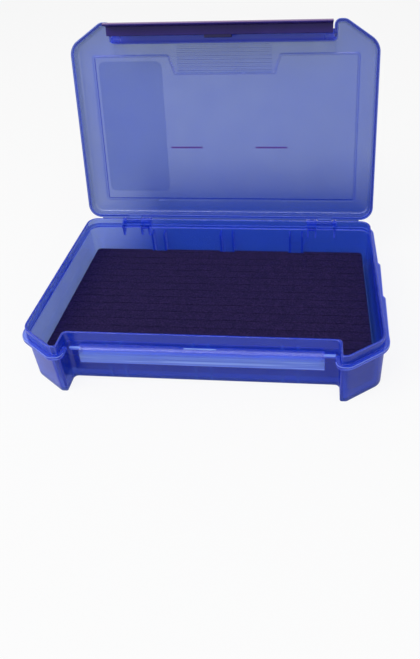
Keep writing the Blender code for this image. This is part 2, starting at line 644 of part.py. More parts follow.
def build_latch(plastic, ear_start):
    top_z = PIVOT_Z + LATCH_TOP_RISE
    tip_z = LEDGE_FOOT - SEAT_GAP
    foot_z = tip_z - LATCH_TAIL
    face_y = PIVOT_Y - LATCH_FACE_TOP
    foot_y = PIVOT_Y - LATCH_FACE_FOOT
    spine_y = PIVOT_Y - LATCH_SPINE
    inner_y = PIVOT_Y - LATCH_FOOT_INNER
    face_top_z = top_z - LATCH_EDGE_ROUND - LATCH_EDGE_SHARE * LATCH_EDGE_ROUND
    face_foot_z = foot_z + LATCH_FOOT_ROUND + LATCH_FOOT_ROUND

    def face_at(height):
        share = (face_top_z - height) / (face_top_z - face_foot_z)
        return face_y + (foot_y - face_y) * share

    profile = [
        (PIVOT_Y + LATCH_TOP_BACK, top_z),
        (face_y + LATCH_EDGE_ROUND, top_z),
        (face_y + LATCH_EDGE_SHARE * LATCH_EDGE_ROUND, top_z - LATCH_EDGE_SHARE * LATCH_EDGE_ROUND),
        (face_y, face_top_z),
    ]
    top_groove = foot_z + GROOVE_FOOT_GAP + (GROOVE_COUNT - 1) * GROOVE_PITCH
    for index in range(GROOVE_COUNT):
        middle = top_groove - index * GROOVE_PITCH
        upper, lower = middle + GROOVE_WIDTH / 2, middle - GROOVE_WIDTH / 2
        profile += [
            (face_at(upper), upper),
            (face_at(upper) + GROOVE_DEPTH, upper - GROOVE_DEPTH / 2),
            (face_at(lower) + GROOVE_DEPTH, lower + GROOVE_DEPTH / 2),
            (face_at(lower), lower),
        ]
    # The hook's tip reaches under the ledge's lower edge
    ledge_face = RECESS_Y + tray_wall_inset(LEDGE_TOP) - LEDGE_REACH
    tip_y = ledge_face + HOOK_OVERLAP
    profile += [
        (foot_y, face_foot_z),
        (foot_y + LATCH_FOOT_ROUND / 4, foot_z + LATCH_FOOT_ROUND / 2),
        (foot_y + LATCH_FOOT_ROUND, foot_z),
        (inner_y - LATCH_FOOT_ROUND / 2, foot_z),
        (inner_y, foot_z + LATCH_FOOT_ROUND / 2),
        (inner_y, tip_z - HOOK_THICK - HOOK_SLOPE / 2),
        (tip_y - SEAT_GAP, tip_z - HOOK_THICK),
        (tip_y, tip_z - HOOK_THICK + SEAT_GAP),
        (tip_y, tip_z),
        (tip_y - HOOK_TIP_THICK, tip_z),
        (PIVOT_Y - HOOK_ROOT, tip_z + HOOK_SLOPE),
        (spine_y, PIVOT_Z),
        (spine_y, top_z - LATCH_TOP_THICK),
        (PIVOT_Y + LATCH_TOP_BACK, top_z - LATCH_TOP_THICK),
    ]
    half = HORN_INNER_X - LATCH_SIDE_GAP
    latch = bar("latch", profile, -half, half, PARTS)
    latch.data.materials.append(plastic)

    # Arms beside the ears, with the stubs that turn in them
    arm_end = ear_start - SEAT_GAP
    inside_leaf = spine_y - (LATCH_FACE_TOP - LATCH_SPINE) / 2
    for side in (-1, 1):
        low, high = sorted((side * (arm_end - ARM_THICK), side * arm_end))
        fuse(latch, round_bar("latch_arm", EAR_RADIUS, low, high, PIVOT_Y, PIVOT_Z))
        fuse(latch, block("arm_web", (low + SMALLEST_RADIUS, inside_leaf, PIVOT_Z - EAR_RADIUS * 0.9),
                          (high - SMALLEST_RADIUS, PIVOT_Y, PIVOT_Z + EAR_RADIUS * 0.9)))
        fuse(latch, round_bar("stub", PIVOT_RADIUS, side * (arm_end - ARM_THICK / 4),
                              side * (arm_end + STUB_LENGTH), PIVOT_Y, PIVOT_Z))
    fuse(latch, block("tab", (-TAB_HALF_WIDTH, inside_leaf, PIVOT_Z + TAB_LOW),
                      (TAB_HALF_WIDTH, PIVOT_Y + TAB_REACH, PIVOT_Z + TAB_HIGH)))
    return latch


def foam_corners():
    """The rim outline moved in to the foam's edge, with a point in each horn."""
    back = BACK_Y - FOAM_BACK_INSET + FOAM_SIDE_INSET
    slope = CORNER_BACK / CORNER_ACROSS
    point_y = FRONT_Y - HORN_FRONT * slope
    return inset_corners(mirrored([
        (HALF_WIDTH, back),
        (HALF_WIDTH, FRONT_Y + CORNER_BACK),
        (HORN_INNER_X, point_y),
        (HORN_INNER_X, RECESS_Y),
    ]), FOAM_SIDE_INSET)


def build_foam(foam_look, adhesive_look):
    adhesive_low = FLOOR_THICK + SEAT_GAP
    adhesive_high = adhesive_low + ADHESIVE_THICK
    foam_low = adhesive_high + SEAT_GAP
    corners = foam_corners()
    half_radii = [FOAM_RADIUS, FOAM_RADIUS, FOAM_TIP_RADIUS, FOAM_TIP_RADIUS]
    radii = half_radii + half_radii[::-1]
    foam = stack("slit_foam", [(foam_low, 0.0), (FOAM_TOP, 0.0)], corners, radii,
                 [SMALL_STEPS] * 8, PARTS)
    foam.data.materials.append(foam_look)
    back = BACK_Y - FOAM_BACK_INSET
    front = RECESS_Y + FOAM_SIDE_INSET
    for centre in (-RIB_PAIR_PITCH, 0.0, RIB_PAIR_PITCH):
        cut(foam, block("foam_notch",
                        (centre - FOAM_NOTCH_WIDTH / 2, back - FOAM_NOTCH_DEPTH, foam_low - OVERRUN),
                        (centre + FOAM_NOTCH_WIDTH / 2, back + OVERRUN, FOAM_TOP + OVERRUN)))
    # Slits run the whole length, spread evenly between the recess edge and the back edge
    count = round((back - front) / SLIT_PITCH)
    middle = (back + front) / 2
    for index in range(count):
        y = middle + (index - (count - 1) / 2) * SLIT_PITCH
        cut(foam, block("slit", (-HALF_WIDTH, y - SLIT_WIDTH / 2, FOAM_TOP - SLIT_DEPTH),
                        (HALF_WIDTH, y + SLIT_WIDTH / 2, FOAM_TOP + OVERRUN)))

    adhesive = stack("foam_adhesive", [(adhesive_low, 0.0), (adhesive_high, 0.0)],
                     inset_corners(corners, ADHESIVE_INSET), [FOAM_TIP_RADIUS] * 8, [1] * 8, PARTS)
    adhesive.data.materials.append(adhesive_look)
    return foam, adhesive


def build_label(paper):
    left = -PANEL_HALF_WIDTH + LABEL_LEFT_GAP
    right = -THUMB_HALF_FRONT - LABEL_RIGHT_GAP
    back = BACK_Y - PANEL_BACK - LABEL_BACK_GAP
    front = FRONT_Y + PANEL_FRONT + LABEL_FRONT_GAP
    low = PANEL_FLOOR + SEAT_GAP
    corners = [(right, back), (right, front), (left, front), (left, back)]
    label = stack("lid_label", [(low, 0.0), (low + LABEL_THICK, 0.0)], corners,
                  [LABEL_RADIUS] * 4, [SMALL_STEPS] * 4, PARTS)
    label.data.materials.append(paper)
    return label


def axis_empty(name, place, degrees, parent=None, parent_place=None):
    empty = bpy.data.objects.new(name, None)
    PARTS.objects.link(empty)
    empty.empty_display_size = SIDE_RADIUS
    if parent is not None:
        empty.parent = parent
        empty.matrix_parent_inverse = Matrix.Translation(-parent_place)
    empty.location = place
    empty.rotation_euler.x = math.radians(degrees)
    return empty


def hang_on(piece, empty, place):
    piece.parent = empty
    piece.matrix_parent_inverse = Matrix.Translation(-place)


def main():
    blue = material("clear_blue_polypropylene", (0.10, 0.15, 0.60), 0.28, alpha=0.75)
    indigo = material("indigo_polypropylene", (0.03, 0.03, 0.16), 0.35)
    steel = material("steel", (0.55, 0.56, 0.58), 0.30, 1.0)
    foam_look = material("dark_foam", (0.010, 0.008, 0.045), 0.95)
    adhesive_look = material("adhesive_film", (0.70, 0.68, 0.60), 0.50)
    paper = material("white_label", (0.85, 0.80, 0.84), 0.45)

    build_tray(blue)
    build_pins(steel)
    lid, ear_start = build_lid(blue)
    latch = build_latch(indigo, ear_start)
    build_foam(foam_look, adhesive_look)
    label = build_label(paper)

    hinge = Vector((0.0, HINGE_Y, HINGE_Z))
    pivot = Vector((0.0, PIVOT_Y, PIVOT_Z))
    lid_axis = axis_empty("lid_axis", hinge, -LID_OPEN_DEGREES)
    latch_axis = axis_empty("latch_axis", pivot, -LATCH_HANG_DEGREES, lid_axis, hinge)
    hang_on(lid, lid_axis, hinge)
    hang_on(label, lid_axis, hinge)
    hang_on(latch, latch_axis, pivot)
    bpy.context.view_layer.update()


if __name__ == "__main__":
    main()
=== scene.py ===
"""Moulded shells, finishes, foam bed and studio for a flat hinged case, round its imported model."""

import json
import math

import bmesh
import bpy
from bpy.props import FloatProperty, FloatVectorProperty, IntProperty, PointerProperty
from bpy.types import Operator, Panel, PropertyGroup
from mathutils import Matrix, Vector, noise


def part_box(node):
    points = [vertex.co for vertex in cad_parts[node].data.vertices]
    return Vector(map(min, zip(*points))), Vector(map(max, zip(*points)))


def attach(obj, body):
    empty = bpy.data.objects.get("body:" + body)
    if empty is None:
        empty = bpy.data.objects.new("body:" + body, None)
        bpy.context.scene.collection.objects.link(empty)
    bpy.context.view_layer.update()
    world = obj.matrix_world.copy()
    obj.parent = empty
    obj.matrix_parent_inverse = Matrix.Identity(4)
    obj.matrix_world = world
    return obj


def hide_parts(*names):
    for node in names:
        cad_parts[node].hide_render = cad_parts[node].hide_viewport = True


bl_info = {
    "name": "Slit foam case",
    "version": (1, 0, 0),
    "blender": (4, 5, 0),
    "location": "View3D > Sidebar > Slit Case",
    "description": "Builds the shells, foam bed, label and studio of a flat hinged case",
    "category": "Object",
}

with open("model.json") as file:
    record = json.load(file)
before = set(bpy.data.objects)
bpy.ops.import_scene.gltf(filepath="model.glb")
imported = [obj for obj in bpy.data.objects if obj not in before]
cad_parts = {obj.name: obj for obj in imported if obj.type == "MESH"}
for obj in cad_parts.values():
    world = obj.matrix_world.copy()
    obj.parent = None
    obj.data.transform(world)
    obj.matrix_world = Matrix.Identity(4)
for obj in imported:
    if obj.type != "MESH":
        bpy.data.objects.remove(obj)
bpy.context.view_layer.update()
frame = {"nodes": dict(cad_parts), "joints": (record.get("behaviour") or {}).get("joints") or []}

MM = 0.001
JOINTS = {joint["name"]: joint for joint in frame["joints"]}
HINGE = Vector(JOINTS["lid_hinge"]["pos_m"])
LID_OPEN = math.radians(JOINTS["lid_hinge"]["range_deg"][1])
OPENING = (Matrix.Translation(HINGE) @ Matrix.Rotation(-LID_OPEN, 4, "X")
           @ Matrix.Translation(-HINGE))
PIVOT = OPENING.inverted() @ Vector(JOINTS["latch_hinge"]["pos_m"])
HANG = math.radians(JOINTS["latch_hinge"]["range_deg"][1])
HANGING = Matrix.Translation(PIVOT) @ Matrix.Rotation(-HANG, 4, "X") @ Matrix.Translation(-PIVOT)

# Shared by several pieces, in millimetres with the lid closed. The recess's wall is a y, and the two lines
# are y and z of an axis.
RECESS_WALL = -52.8
HINGE_LINE = (70.5, 28.5)
PIVOT_LINE = (-59.6, 33.0)
BORE_RADIUS = 1.3
KNUCKLE_RADIUS = 2.5
EAR_RADIUS = 1.9
RIB_PAIRS = (-49.0, 0.0, 49.0)
RIB_OFF = 4.3
GROOVES = (19.0, 14.2, 9.4)
SIDES = (-1, 1)


# Settings

def colour_setting(name, description, default):
    return FloatVectorProperty(name=name, description=description, default=default,
                               subtype="COLOR", size=3, min=0.0, max=1.0)


def lamp_setting(name, description, default):
    return FloatProperty(name=name, description=description, default=default,
                         subtype="POWER", unit="POWER", min=0.0, max=200.0)


class PlasticSettings(PropertyGroup):
    clear_tint: colour_setting(
        "Clear tint", "What the see-through share of the plastic lets pass", (0.50, 0.575, 0.60))
    milk_colour: colour_setting(
        "Milk colour", "Colour that the cloudy share of the plastic sends back", (0.012, 0.058, 0.62))
    depth_colour: colour_setting(
        "Depth colour", "Colour left after a long way through the plastic", (0.04, 0.27, 0.96))
    depth_density: FloatProperty(
        name="Depth density", description="How fast the plastic darkens with its thickness, per metre",
        min=0.0, max=3000.0, default=280.0)
    haze: FloatProperty(
        name="Haze", description="Cloudy share at each surface",
        subtype="FACTOR", min=0.0, max=1.0, default=0.30)
    gloss: FloatProperty(
        name="Roughness", description="Roughness of a clean moulded face",
        subtype="FACTOR", min=0.0, max=1.0, default=0.15)
    edge_highlight_colour: colour_setting(
        "Edge colour", "Colour of the small roundings that catch the light", (0.22, 0.30, 0.72))
    deep_colour: colour_setting(
        "Deep colour", "Colour of the cloudy share where the plastic is thick", (0.010, 0.036, 0.62))
    # The ledge's paler colour: painted highlights and sheen, with rub marks
    wear_and_highlight_colour: colour_setting(
        "Rubbed colour", "Colour of the catch ledge where the latch rubs it", (0.25, 0.38, 0.80))
    latch_colour: colour_setting(
        "Latch colour", "Colour of the latch bar", (0.018, 0.009, 0.11))


class FoamSettings(PropertyGroup):
    light_colour: colour_setting(
        "Cell walls", "Colour of the foam's raised cell walls", (0.024, 0.013, 0.066))
    dark_colour: colour_setting(
        "Pores", "Colour inside the foam's pores", (0.004, 0.003, 0.024))
    cell: FloatProperty(
        name="Cell size", description="Width of one foam cell",
        subtype="DISTANCE", unit="LENGTH", min=0.0001, max=0.003, default=0.0006)
    slit_width: FloatProperty(
        name="Slit width", description="Width of a slit at the foam's surface",
        subtype="DISTANCE", unit="LENGTH", min=0.0001, max=0.002, default=0.0003)
    slits: IntProperty(
        name="Slits", description="Number of slits", min=1, max=40, default=15)


class StudioSettings(PropertyGroup):
    floor_colour: colour_setting(
        "Floor", "Colour of the pale floor", (0.52, 0.52, 0.53))
    shade_colour: colour_setting(
        "Shade", "Colour of the case's own shade, where the plastic shows the floor", (0.055, 0.115, 0.28))
    sky: FloatProperty(
        name="Sky light", description="Strength of the even light from all round",
        min=0.0, max=2.0, default=0.55)
    key: lamp_setting("Key lamp", "Power of the large lamp on the left", 12.5)
    fill: lamp_setting("Fill lamp", "Power of the lamp on the right", 3.0)
    top: lamp_setting("Top lamp", "Power of the lamp overhead", 3.0)


# Shader graphs

class Signal:
    """A shader node's output. Arithmetic on it adds Math nodes."""

    def __init__(self, graph, socket):
        self.graph = graph
        self.socket = socket

    def maths(self, operation, *values):
        return self.graph.node("Math", {"operation": operation}, dict(enumerate(values)))

    def __add__(self, other):
        return self.maths("ADD", self, other)

    def __radd__(self, other):
        return self.maths("ADD", other, self)

    def __sub__(self, other):
        return self.maths("SUBTRACT", self, other)

    def __rsub__(self, other):
        return self.maths("SUBTRACT", other, self)

    def __mul__(self, other):
        return self.maths("MULTIPLY", self, other)

    def __rmul__(self, other):
        return self.maths("MULTIPLY", other, self)

    def __gt__(self, other):
        return self.maths("GREATER_THAN", self, other)

    def __lt__(self, other):
        return self.maths("LESS_THAN", self, other)

    def __abs__(self):
        return self.maths("ABSOLUTE", self)

    def least(self, other):
        return self.maths("MINIMUM", self, other)

    def most(self, other):
        return self.maths("MAXIMUM", self, other)

    def within(self, low, high):
        """1 between two values and 0 outside them."""
        return (self > low) * (self < high)


class Graph:
    """A material or world's nodes, made one call at a time."""

    def __init__(self, owner, output_kind):
        owner.use_nodes = True
        self.owner = owner
        self.tree = owner.node_tree
        self.tree.nodes.clear()
        self.end = self.tree.nodes.new(output_kind)

    def node(self, kind, settings=None, sockets=None, output=0):
        made = self.tree.nodes.new("ShaderNode" + kind)
        for name, value in (settings or {}).items():
            if name == "stops":
                for element, (position, colour) in zip(made.color_ramp.elements, value):
                    element.position = position
                    element.color = colour
            else:
                setattr(made, name, value)
        for key, value in (sockets or {}).items():
            if isinstance(value, Signal):
                self.tree.links.new(value.socket, made.inputs[key])
            else:
                made.inputs[key].default_value = value
        return Signal(self, made.outputs[output])

    def show(self, name, signal):
        self.tree.links.new(signal.socket, self.end.inputs[name])
        return self.owner

    def mix_colour(self, factor, first, second):
        """From one colour to another, each a signal or three numbers."""
        first, second = (c if isinstance(c, Signal) else solid(c) for c in (first, second))
        return self.node("Mix", {"data_type": "RGBA"}, {0: factor, 6: first, 7: second}, output=2)

    def mix_shader(self, factor, first, second):
        return self.node("MixShader", {}, {0: factor, 1: first, 2: second})

    def principled(self, colour, rough, others):
        return self.node("BsdfPrincipled", {}, {"Base Color": colour, "Roughness": rough, **others})

    def clear_film(self, colour):
        return self.node("BsdfTransparent", {}, {"Color": solid(colour)})

    def ray(self, fact):
        return self.node("LightPath", output=fact)

    def mark(self, name):
        """A number that mark_faces gave each face."""
        return self.node("Attribute", {"attribute_name": name}, output="Fac")

    def place(self):
        """A point's place on its object, in metres."""
        return self.node("TexCoord", output="Object")

    def place_parts(self):
        """X, Y and Z of a point's place."""
        return [self.node("SeparateXYZ", {}, {"Vector": self.place()}, output=axis) for axis in "XYZ"]

    def span(self, value, low, high):
        """0 to 1 as a value goes from low to high."""
        return self.node("MapRange", {"interpolation_type": "SMOOTHSTEP"},
                         {"Value": value, "From Min": low, "From Max": high})

    def ramp(self, value, black, white):
        """Black at one value and white at the other."""
        stops = sorted(((black, (0, 0, 0, 1)), (white, (1, 1, 1, 1))))
        return self.node("ValToRGB", {"stops": stops}, {0: value})

    def noise(self, scale, detail=2.0, rough=0.5, place=None):
        return self.node("TexNoise", {}, {"Vector": place or self.place(), "Scale": scale,
                                          "Detail": detail, "Roughness": rough})

    def streaks(self, along, across, detail=3.0, rough=0.5):
        """Noise with one scale along X and another across it."""
        drawn = self.node("Mapping", {}, {"Vector": self.place(), "Scale": (along, across, across)})
        return self.noise(1.0, detail, rough, drawn)

    def bump(self, height, strength, distance, **under):
        return self.node("Bump", {}, {"Strength": strength, "Distance": distance, "Height": height,
                                      **under})


def solid(colour):
    return (*colour, 1.0)


def finish_named(name):
    return Graph(bpy.data.materials.new(name), "ShaderNodeOutputMaterial")


# Finishes

PLASTIC_IOR = 1.49
SECOND_WALL_TINT = (0.92, 0.95, 0.99)
RIB_SHOW_THROUGH_COLOUR = (0.06, 0.20, 0.90)
GROOVE_SHADE_COLOUR = (0.003, 0.003, 0.025)
EDGE_HIGHLIGHT_MAUVE = (0.30, 0.19, 0.31)


def moulded_surface(graph, plain_rough):
    """Roughness and normal of a moulded face: faint grain, slow waves and fine rubbing marks."""
    grain = graph.noise(2400.0)
    waves = graph.noise(55.0, detail=1.0)
    marks = graph.ramp(graph.streaks(90.0, 1900.0, rough=0.6), black=0.60, white=0.74)
    rough = plain_rough + grain * 0.03 + marks * 0.10
    fine = graph.bump(grain, strength=0.03, distance=0.00004)
    normal = graph.bump(waves, strength=0.20, distance=0.0006, Normal=fine)
    return rough, normal, waves


def blue_plastic(name, clear_share, milk_share, ledge=False):
    """See-through blue plastic: clear and cloudy shares, darker where deeper, with painted highlights on its
    roundings.
    """
    wants = bpy.context.scene.slit_case_plastic
    graph = finish_named(name)
    rough, normal, waves = moulded_surface(graph, wants.gloss)
    tint = [min(1.0, c * share) for c, share in zip(wants.clear_tint, clear_share)]
    blue = [c * milk_share for c in wants.milk_colour]
    # Deep marks thick plastic, and edge marks the small roundings that get a painted highlight
    deep = graph.mark("deep")
    edge = graph.mark("edge")
    rough = rough + edge * 0.20 + deep * 0.12
    # A wall that is seen through another one is shown clearer, or it would be lost in the dark
    inner = graph.span(graph.ray("Transmission Depth"), 1.5, 2.5)
    surface = {"IOR": PLASTIC_IOR, "Normal": normal}
    clear = graph.principled(graph.mix_colour(inner, tint, SECOND_WALL_TINT), rough,
                             {"Transmission Weight": 1.0, **surface})
    milk = graph.mix_colour(graph.noise(22.0), [c * 0.88 for c in blue],
                            [min(1.0, c * 1.10) for c in blue])
    milk = graph.mix_colour(deep, milk, wants.deep_colour)
    # Painted highlight: the roundings' cloudy share turns paler
    milk = graph.mix_colour(edge * 0.8, milk, wants.edge_highlight_colour)
    haze = wants.haze + (waves - 0.5) * 0.08 + deep * 0.45 + edge * 0.25
    if ledge:
        # On the catch ledge, painted highlights and sheen mixed with rub marks make it paler
        ledge_wear_and_sheen = ledge_wear_and_highlights(graph)
        # Painted light: the ribs behind the recess wall show as paler lines painted on its face
        ribs = rib_show_through(graph)
        milk = graph.mix_colour(ribs * 0.28, milk, RIB_SHOW_THROUGH_COLOUR)
        milk = graph.mix_colour(ledge_wear_and_sheen * 0.8, milk, wants.wear_and_highlight_colour)
        haze = haze + ledge_wear_and_sheen * 0.25 + ribs * 0.10
    milky = graph.principled(milk, rough, surface)
    body = graph.mix_shader(haze * (1.0 - inner * 0.7), clear, milky)
    # A lamp's light passes straight through, with the colour of both shares
    shade = [c * (1 - wants.haze) + m * wants.haze for c, m in zip(tint, blue)]
    graph.show("Volume", graph.node("VolumeAbsorption", {}, {
        "Color": solid(wants.depth_colour), "Density": wants.depth_density}))
    return graph.show("Surface", graph.mix_shader(graph.ray("Is Shadow Ray"), body,
                                                  graph.clear_film(shade)))


def ledge_wear_and_highlights(graph):
    """1 on the catch ledge's painted highlights and sheen, mixed with rub marks, in streaks along X."""
    across, out, up = graph.place_parts()
    half = abs(across)
    front = graph.span(out, -0.0540, -0.0552)
    above = graph.span(up, 0.0150, 0.0166)
    below = graph.span(up, 0.0256, 0.0220) * 0.9 + graph.span(up, 0.0285, 0.0262) * 0.1
    streaks = graph.streaks(14.0, 900.0, rough=0.6)
    lines = graph.ramp(streaks, black=0.58, white=0.68)
    # A painted highlight: one longer pale line along the face, a little right of the middle
    painted_glint = graph.span(abs(across - 0.012), 0.045, 0.010) * graph.span(abs(up - 0.0192), 0.0009, 0.0002)
    face = front * above * below * (streaks * 0.9 + lines * 0.8 + painted_glint * 0.7 + 0.35)
    # The top edges of the middle ridge and the two end bits get stronger painted highlights. Each mask is a
    # little larger than the edge that it is for.
    ridge = (half < 0.0091) * out.within(-0.0556, -0.0548) * (up < 0.0268)
    ridge = ridge * graph.span(up, 0.0261, 0.0263)
    bits = half.within(0.0672, 0.0733) * out.within(-0.0565, -0.0549) * (up < 0.0258)
    bits = bits * graph.span(up, 0.0249, 0.0252)
    wear_and_highlight = face * (half < 0.0675) + (ridge + bits) * 1.3
    return wear_and_highlight.least(1.25)


def rib_show_through(graph):
    """1 in front of each of the ribs behind the recess wall, where their show-through is painted as a paler
    line.
    """
    across, out, up = graph.place_parts()
    half = abs(across)
    outer = abs(abs(half - RIB_PAIRS[-1] * MM) - RIB_OFF * MM)
    near = outer.least(abs(half - RIB_OFF * MM))
    wall = graph.span(out, -0.0520, -0.0530) * (out > -0.0541)
    return graph.span(near, 0.0011, 0.0004) * wall * graph.span(up, 0.0300, 0.0285)


def latch_plastic():
    """Dark indigo plastic, with painted mauve highlights along its edges and painted shade in its grooves
    and tabs.
    """
    wants = bpy.context.scene.slit_case_plastic
    graph = finish_named("indigo_plastic")
    rough, normal, waves = moulded_surface(graph, 0.24)
    groove_shade = graph.mark("deep")
    colour = graph.mix_colour(waves, [c * 0.8 for c in wants.latch_colour],
                              [c * 1.3 for c in wants.latch_colour])
    # Painted shade in the grooves and on the middle tabs
    colour = graph.mix_colour(groove_shade * 0.75, colour, GROOVE_SHADE_COLOUR)
    # Painted mauve highlight along the edges
    return graph.show("Surface", graph.principled(
        graph.mix_colour(graph.mark("edge"), colour, EDGE_HIGHLIGHT_MAUVE), rough + groove_shade * 0.3,
        {"IOR": 1.32, "Normal": normal}))


def drawn_steel():
    graph = finish_named("drawn_steel")
    lines = graph.streaks(60.0, 6000.0)
    colour = graph.mix_colour(lines, (0.08, 0.09, 0.15), (0.15, 0.16, 0.24))
    return graph.show("Surface", graph.principled(colour, 0.34 + lines * 0.16, {
        "Metallic": 1.0, "Normal": graph.bump(lines, strength=0.2, distance=0.00002)}))


def dark_foam():
    """Closed-cell foam: thin paler walls round pores darkened as painted shade, with slow patches."""
    wants = bpy.context.scene.slit_case_foam
    graph = finish_named("dark_foam")
    cells = graph.node("TexVoronoi", {"feature": "DISTANCE_TO_EDGE"},
                       {"Vector": graph.place(), "Scale": 1.0 / wants.cell})
    # Painted shade: the pores darker than the cell walls
    walls = graph.ramp(cells, black=0.30, white=0.02)
    patches = graph.noise(240.0, detail=4.0, rough=0.65)
    threads = graph.streaks(160.0, 1500.0, detail=2.0)
    grain = graph.noise(1000.0, rough=0.7)
    share = walls * 0.35 + patches * 0.5 + threads * 0.45 + (grain - 0.5) * 2.2 - 0.30
    height = walls * 0.4 + patches * 0.3 + grain * 0.5
    colour = graph.mix_colour(share, wants.dark_colour, wants.light_colour)
    return graph.show("Surface", graph.principled(colour, 0.82 + patches * 0.15, {
        "Specular IOR Level": 0.10,
        "Normal": graph.bump(height, strength=0.55, distance=0.00025)}))


def paper_film():
    graph = finish_named("label_film")
    fibres = graph.noise(3000.0, detail=3.0)
    colour = graph.mix_colour(graph.noise(60.0), (0.64, 0.57, 0.64), (0.70, 0.63, 0.70))
    paper = graph.principled(colour, 0.55 + fibres * 0.12, {
        "IOR": 1.35, "Normal": graph.bump(fibres, strength=0.05, distance=0.00003)})
    # The paper's back lets the light behind it show through the lid
    film = graph.clear_film((0.88, 0.91, 0.93))
    return graph.show("Surface", graph.mix_shader(seen_from_inside(graph) * 0.88, paper, film))


def glue_film():
    graph = finish_named("adhesive_film")
    runs = graph.streaks(80.0, 400.0)
    colour = graph.mix_colour(runs, (0.60, 0.58, 0.52), (0.76, 0.74, 0.66))
    return graph.show("Surface", graph.principled(colour, 0.45 + runs * 0.15, {}))


def stripe_ink():
    graph = finish_named("stripe_ink")
    grain = graph.noise(2500.0)
    colour = graph.mix_colour(grain, (0.54, 0.02, 0.15), (0.64, 0.03, 0.20))
    ink = graph.principled(colour, 0.38 + grain * 0.08, {})
    # The ink is thin, so from inside the lid the light behind it comes through red
    film = graph.clear_film((0.72, 0.02, 0.16))
    return graph.show("Surface", graph.mix_shader(seen_from_inside(graph) * 0.9, ink, film))


def seen_from_inside(graph):
    """1 on the faces of a sheet that lies on the lid and that look into the case."""
    outwards = OPENING.to_3x3() @ Vector((0.0, 0.0, 1.0))
    facing = graph.node("VectorMath", {"operation": "DOT_PRODUCT"},
                        {0: graph.node("TexCoord", output="Normal"), 1: outwards}, output="Value")
    return graph.node("NewGeometry", output="Backfacing").most(facing < 0.0)


# Modelling, in millimetres

def object_mode():
    bpy.ops.object.mode_set(mode="OBJECT")


def deselect():
    if bpy.context.mode != "OBJECT":
        object_mode()
    bpy.ops.object.select_all(action="DESELECT")


def only(piece):
    deselect()
    piece.select_set(True)
    bpy.context.view_layer.objects.active = piece


def block(name, corner, opposite):
    """A box between any two opposite corners, with its place in its mesh."""
    deselect()
    bpy.ops.mesh.primitive_cube_add(size=1.0)
    piece = bpy.context.object
    piece.name = name
    low = Vector([*map(min, corner, opposite)])
    high = Vector([*map(max, corner, opposite)])
    place = Matrix.Translation((low + high) / 2 * MM)
    piece.data.transform(place @ Matrix.Diagonal((*((high - low) * MM), 1.0)))
    return piece


def rod(name, radius, start, end, line):
    """A cylinder round a line along X, given by its y and z."""
    deselect()
    bpy.ops.mesh.primitive_cylinder_add(vertices=40, radius=radius * MM, depth=abs(end - start) * MM)
    piece = bpy.context.object
    piece.name = name
    place = Matrix.Translation(Vector(((start + end) / 2, *line)) * MM)
    piece.data.transform(place @ Matrix.Rotation(math.pi / 2, 4, "Y"))
    return piece


def skin(name, rings):
    """A closed skin: a disc laid on the first ring of points and extruded on to each next one."""
    deselect()
    bpy.ops.mesh.primitive_circle_add(vertices=len(rings[0]), radius=MM, fill_type="NGON")
    piece = bpy.context.object
    piece.name = name
    bpy.ops.object.mode_set(mode="EDIT")
    bpy.ops.mesh.select_mode(type="FACE")
    bpy.ops.mesh.select_all(action="SELECT")
    mesh = bmesh.from_edit_mesh(piece.data)
    order = mesh.verts.layers.int.new("order")
    for index, vert in enumerate(mesh.verts):
        vert[order] = index
        vert.co = Vector(rings[0][index]) * MM
    bmesh.update_edit_mesh(piece.data)
    for ring in rings[1:]:
        bpy.ops.mesh.extrude_region_move()
        mesh = bmesh.from_edit_mesh(piece.data)
        order = mesh.verts.layers.int["order"]
        for vert in mesh.verts:
            if vert.select:
                vert.co = Vector(ring[vert[order]]) * MM
        bmesh.update_edit_mesh(piece.data)
    bpy.ops.mesh.select_all(action="SELECT")
    bpy.ops.mesh.normals_make_consistent(inside=False)
    object_mode()
    return piece


def bar(name, profile, start, end):
    """A profile of (y, z) points drawn out along X."""
    start, end = sorted((start, end))
    return skin(name, [[(x, y, z) for y, z in profile] for x in (start, end)])


def flowing(points):
    """An open line with its corners cut twice over, its two ends kept."""
    for _ in range(2):
        cut = [points[0]]
        for (ay, az), (by, bz) in zip(points, points[1:]):
            cut.append((ay * 0.75 + by * 0.25, az * 0.75 + bz * 0.25))
            cut.append((ay * 0.25 + by * 0.75, az * 0.25 + bz * 0.75))
        points = cut + [points[-1]]
    return points


def settle(piece, matrix):
    """Move a piece that was made on the closed case to where it is at rest."""
    piece.data.transform(matrix)
    piece.data.update()


def apply_modifier(piece, kind, **settings):
    only(piece)
    made = piece.modifiers.new(kind.lower(), kind)
    for name, value in settings.items():
        setattr(made, name, value)
    bpy.ops.object.modifier_apply(modifier=made.name)


def combine(piece, other, operation):
    """Apply another piece to this one, and drop the other."""
    apply_modifier(piece, "BOOLEAN", operation=operation, solver="EXACT", object=other)
    bpy.data.objects.remove(other, do_unlink=True)


def cut_out(piece, other):
    combine(piece, other, "DIFFERENCE")


def gather(pieces):
    """Several pieces as one object."""
    only(pieces[0])
    for piece in pieces[1:]:
        piece.select_set(True)
    if len(pieces) > 1:
        bpy.ops.object.join()
    return pieces[0]


def join_on(piece, *groups):
    """Unite a piece with each group in turn. No two pieces of a group may overlap."""
    for group in groups:
        combine(piece, gather(group), "UNION")


def soften(piece, width, segments=2, degrees=35.0):
    """Round every edge that is sharper than an angle."""
    apply_modifier(piece, "BEVEL", width=width * MM, segments=segments, limit_method="ANGLE",
                   angle_limit=math.radians(degrees))
    return piece


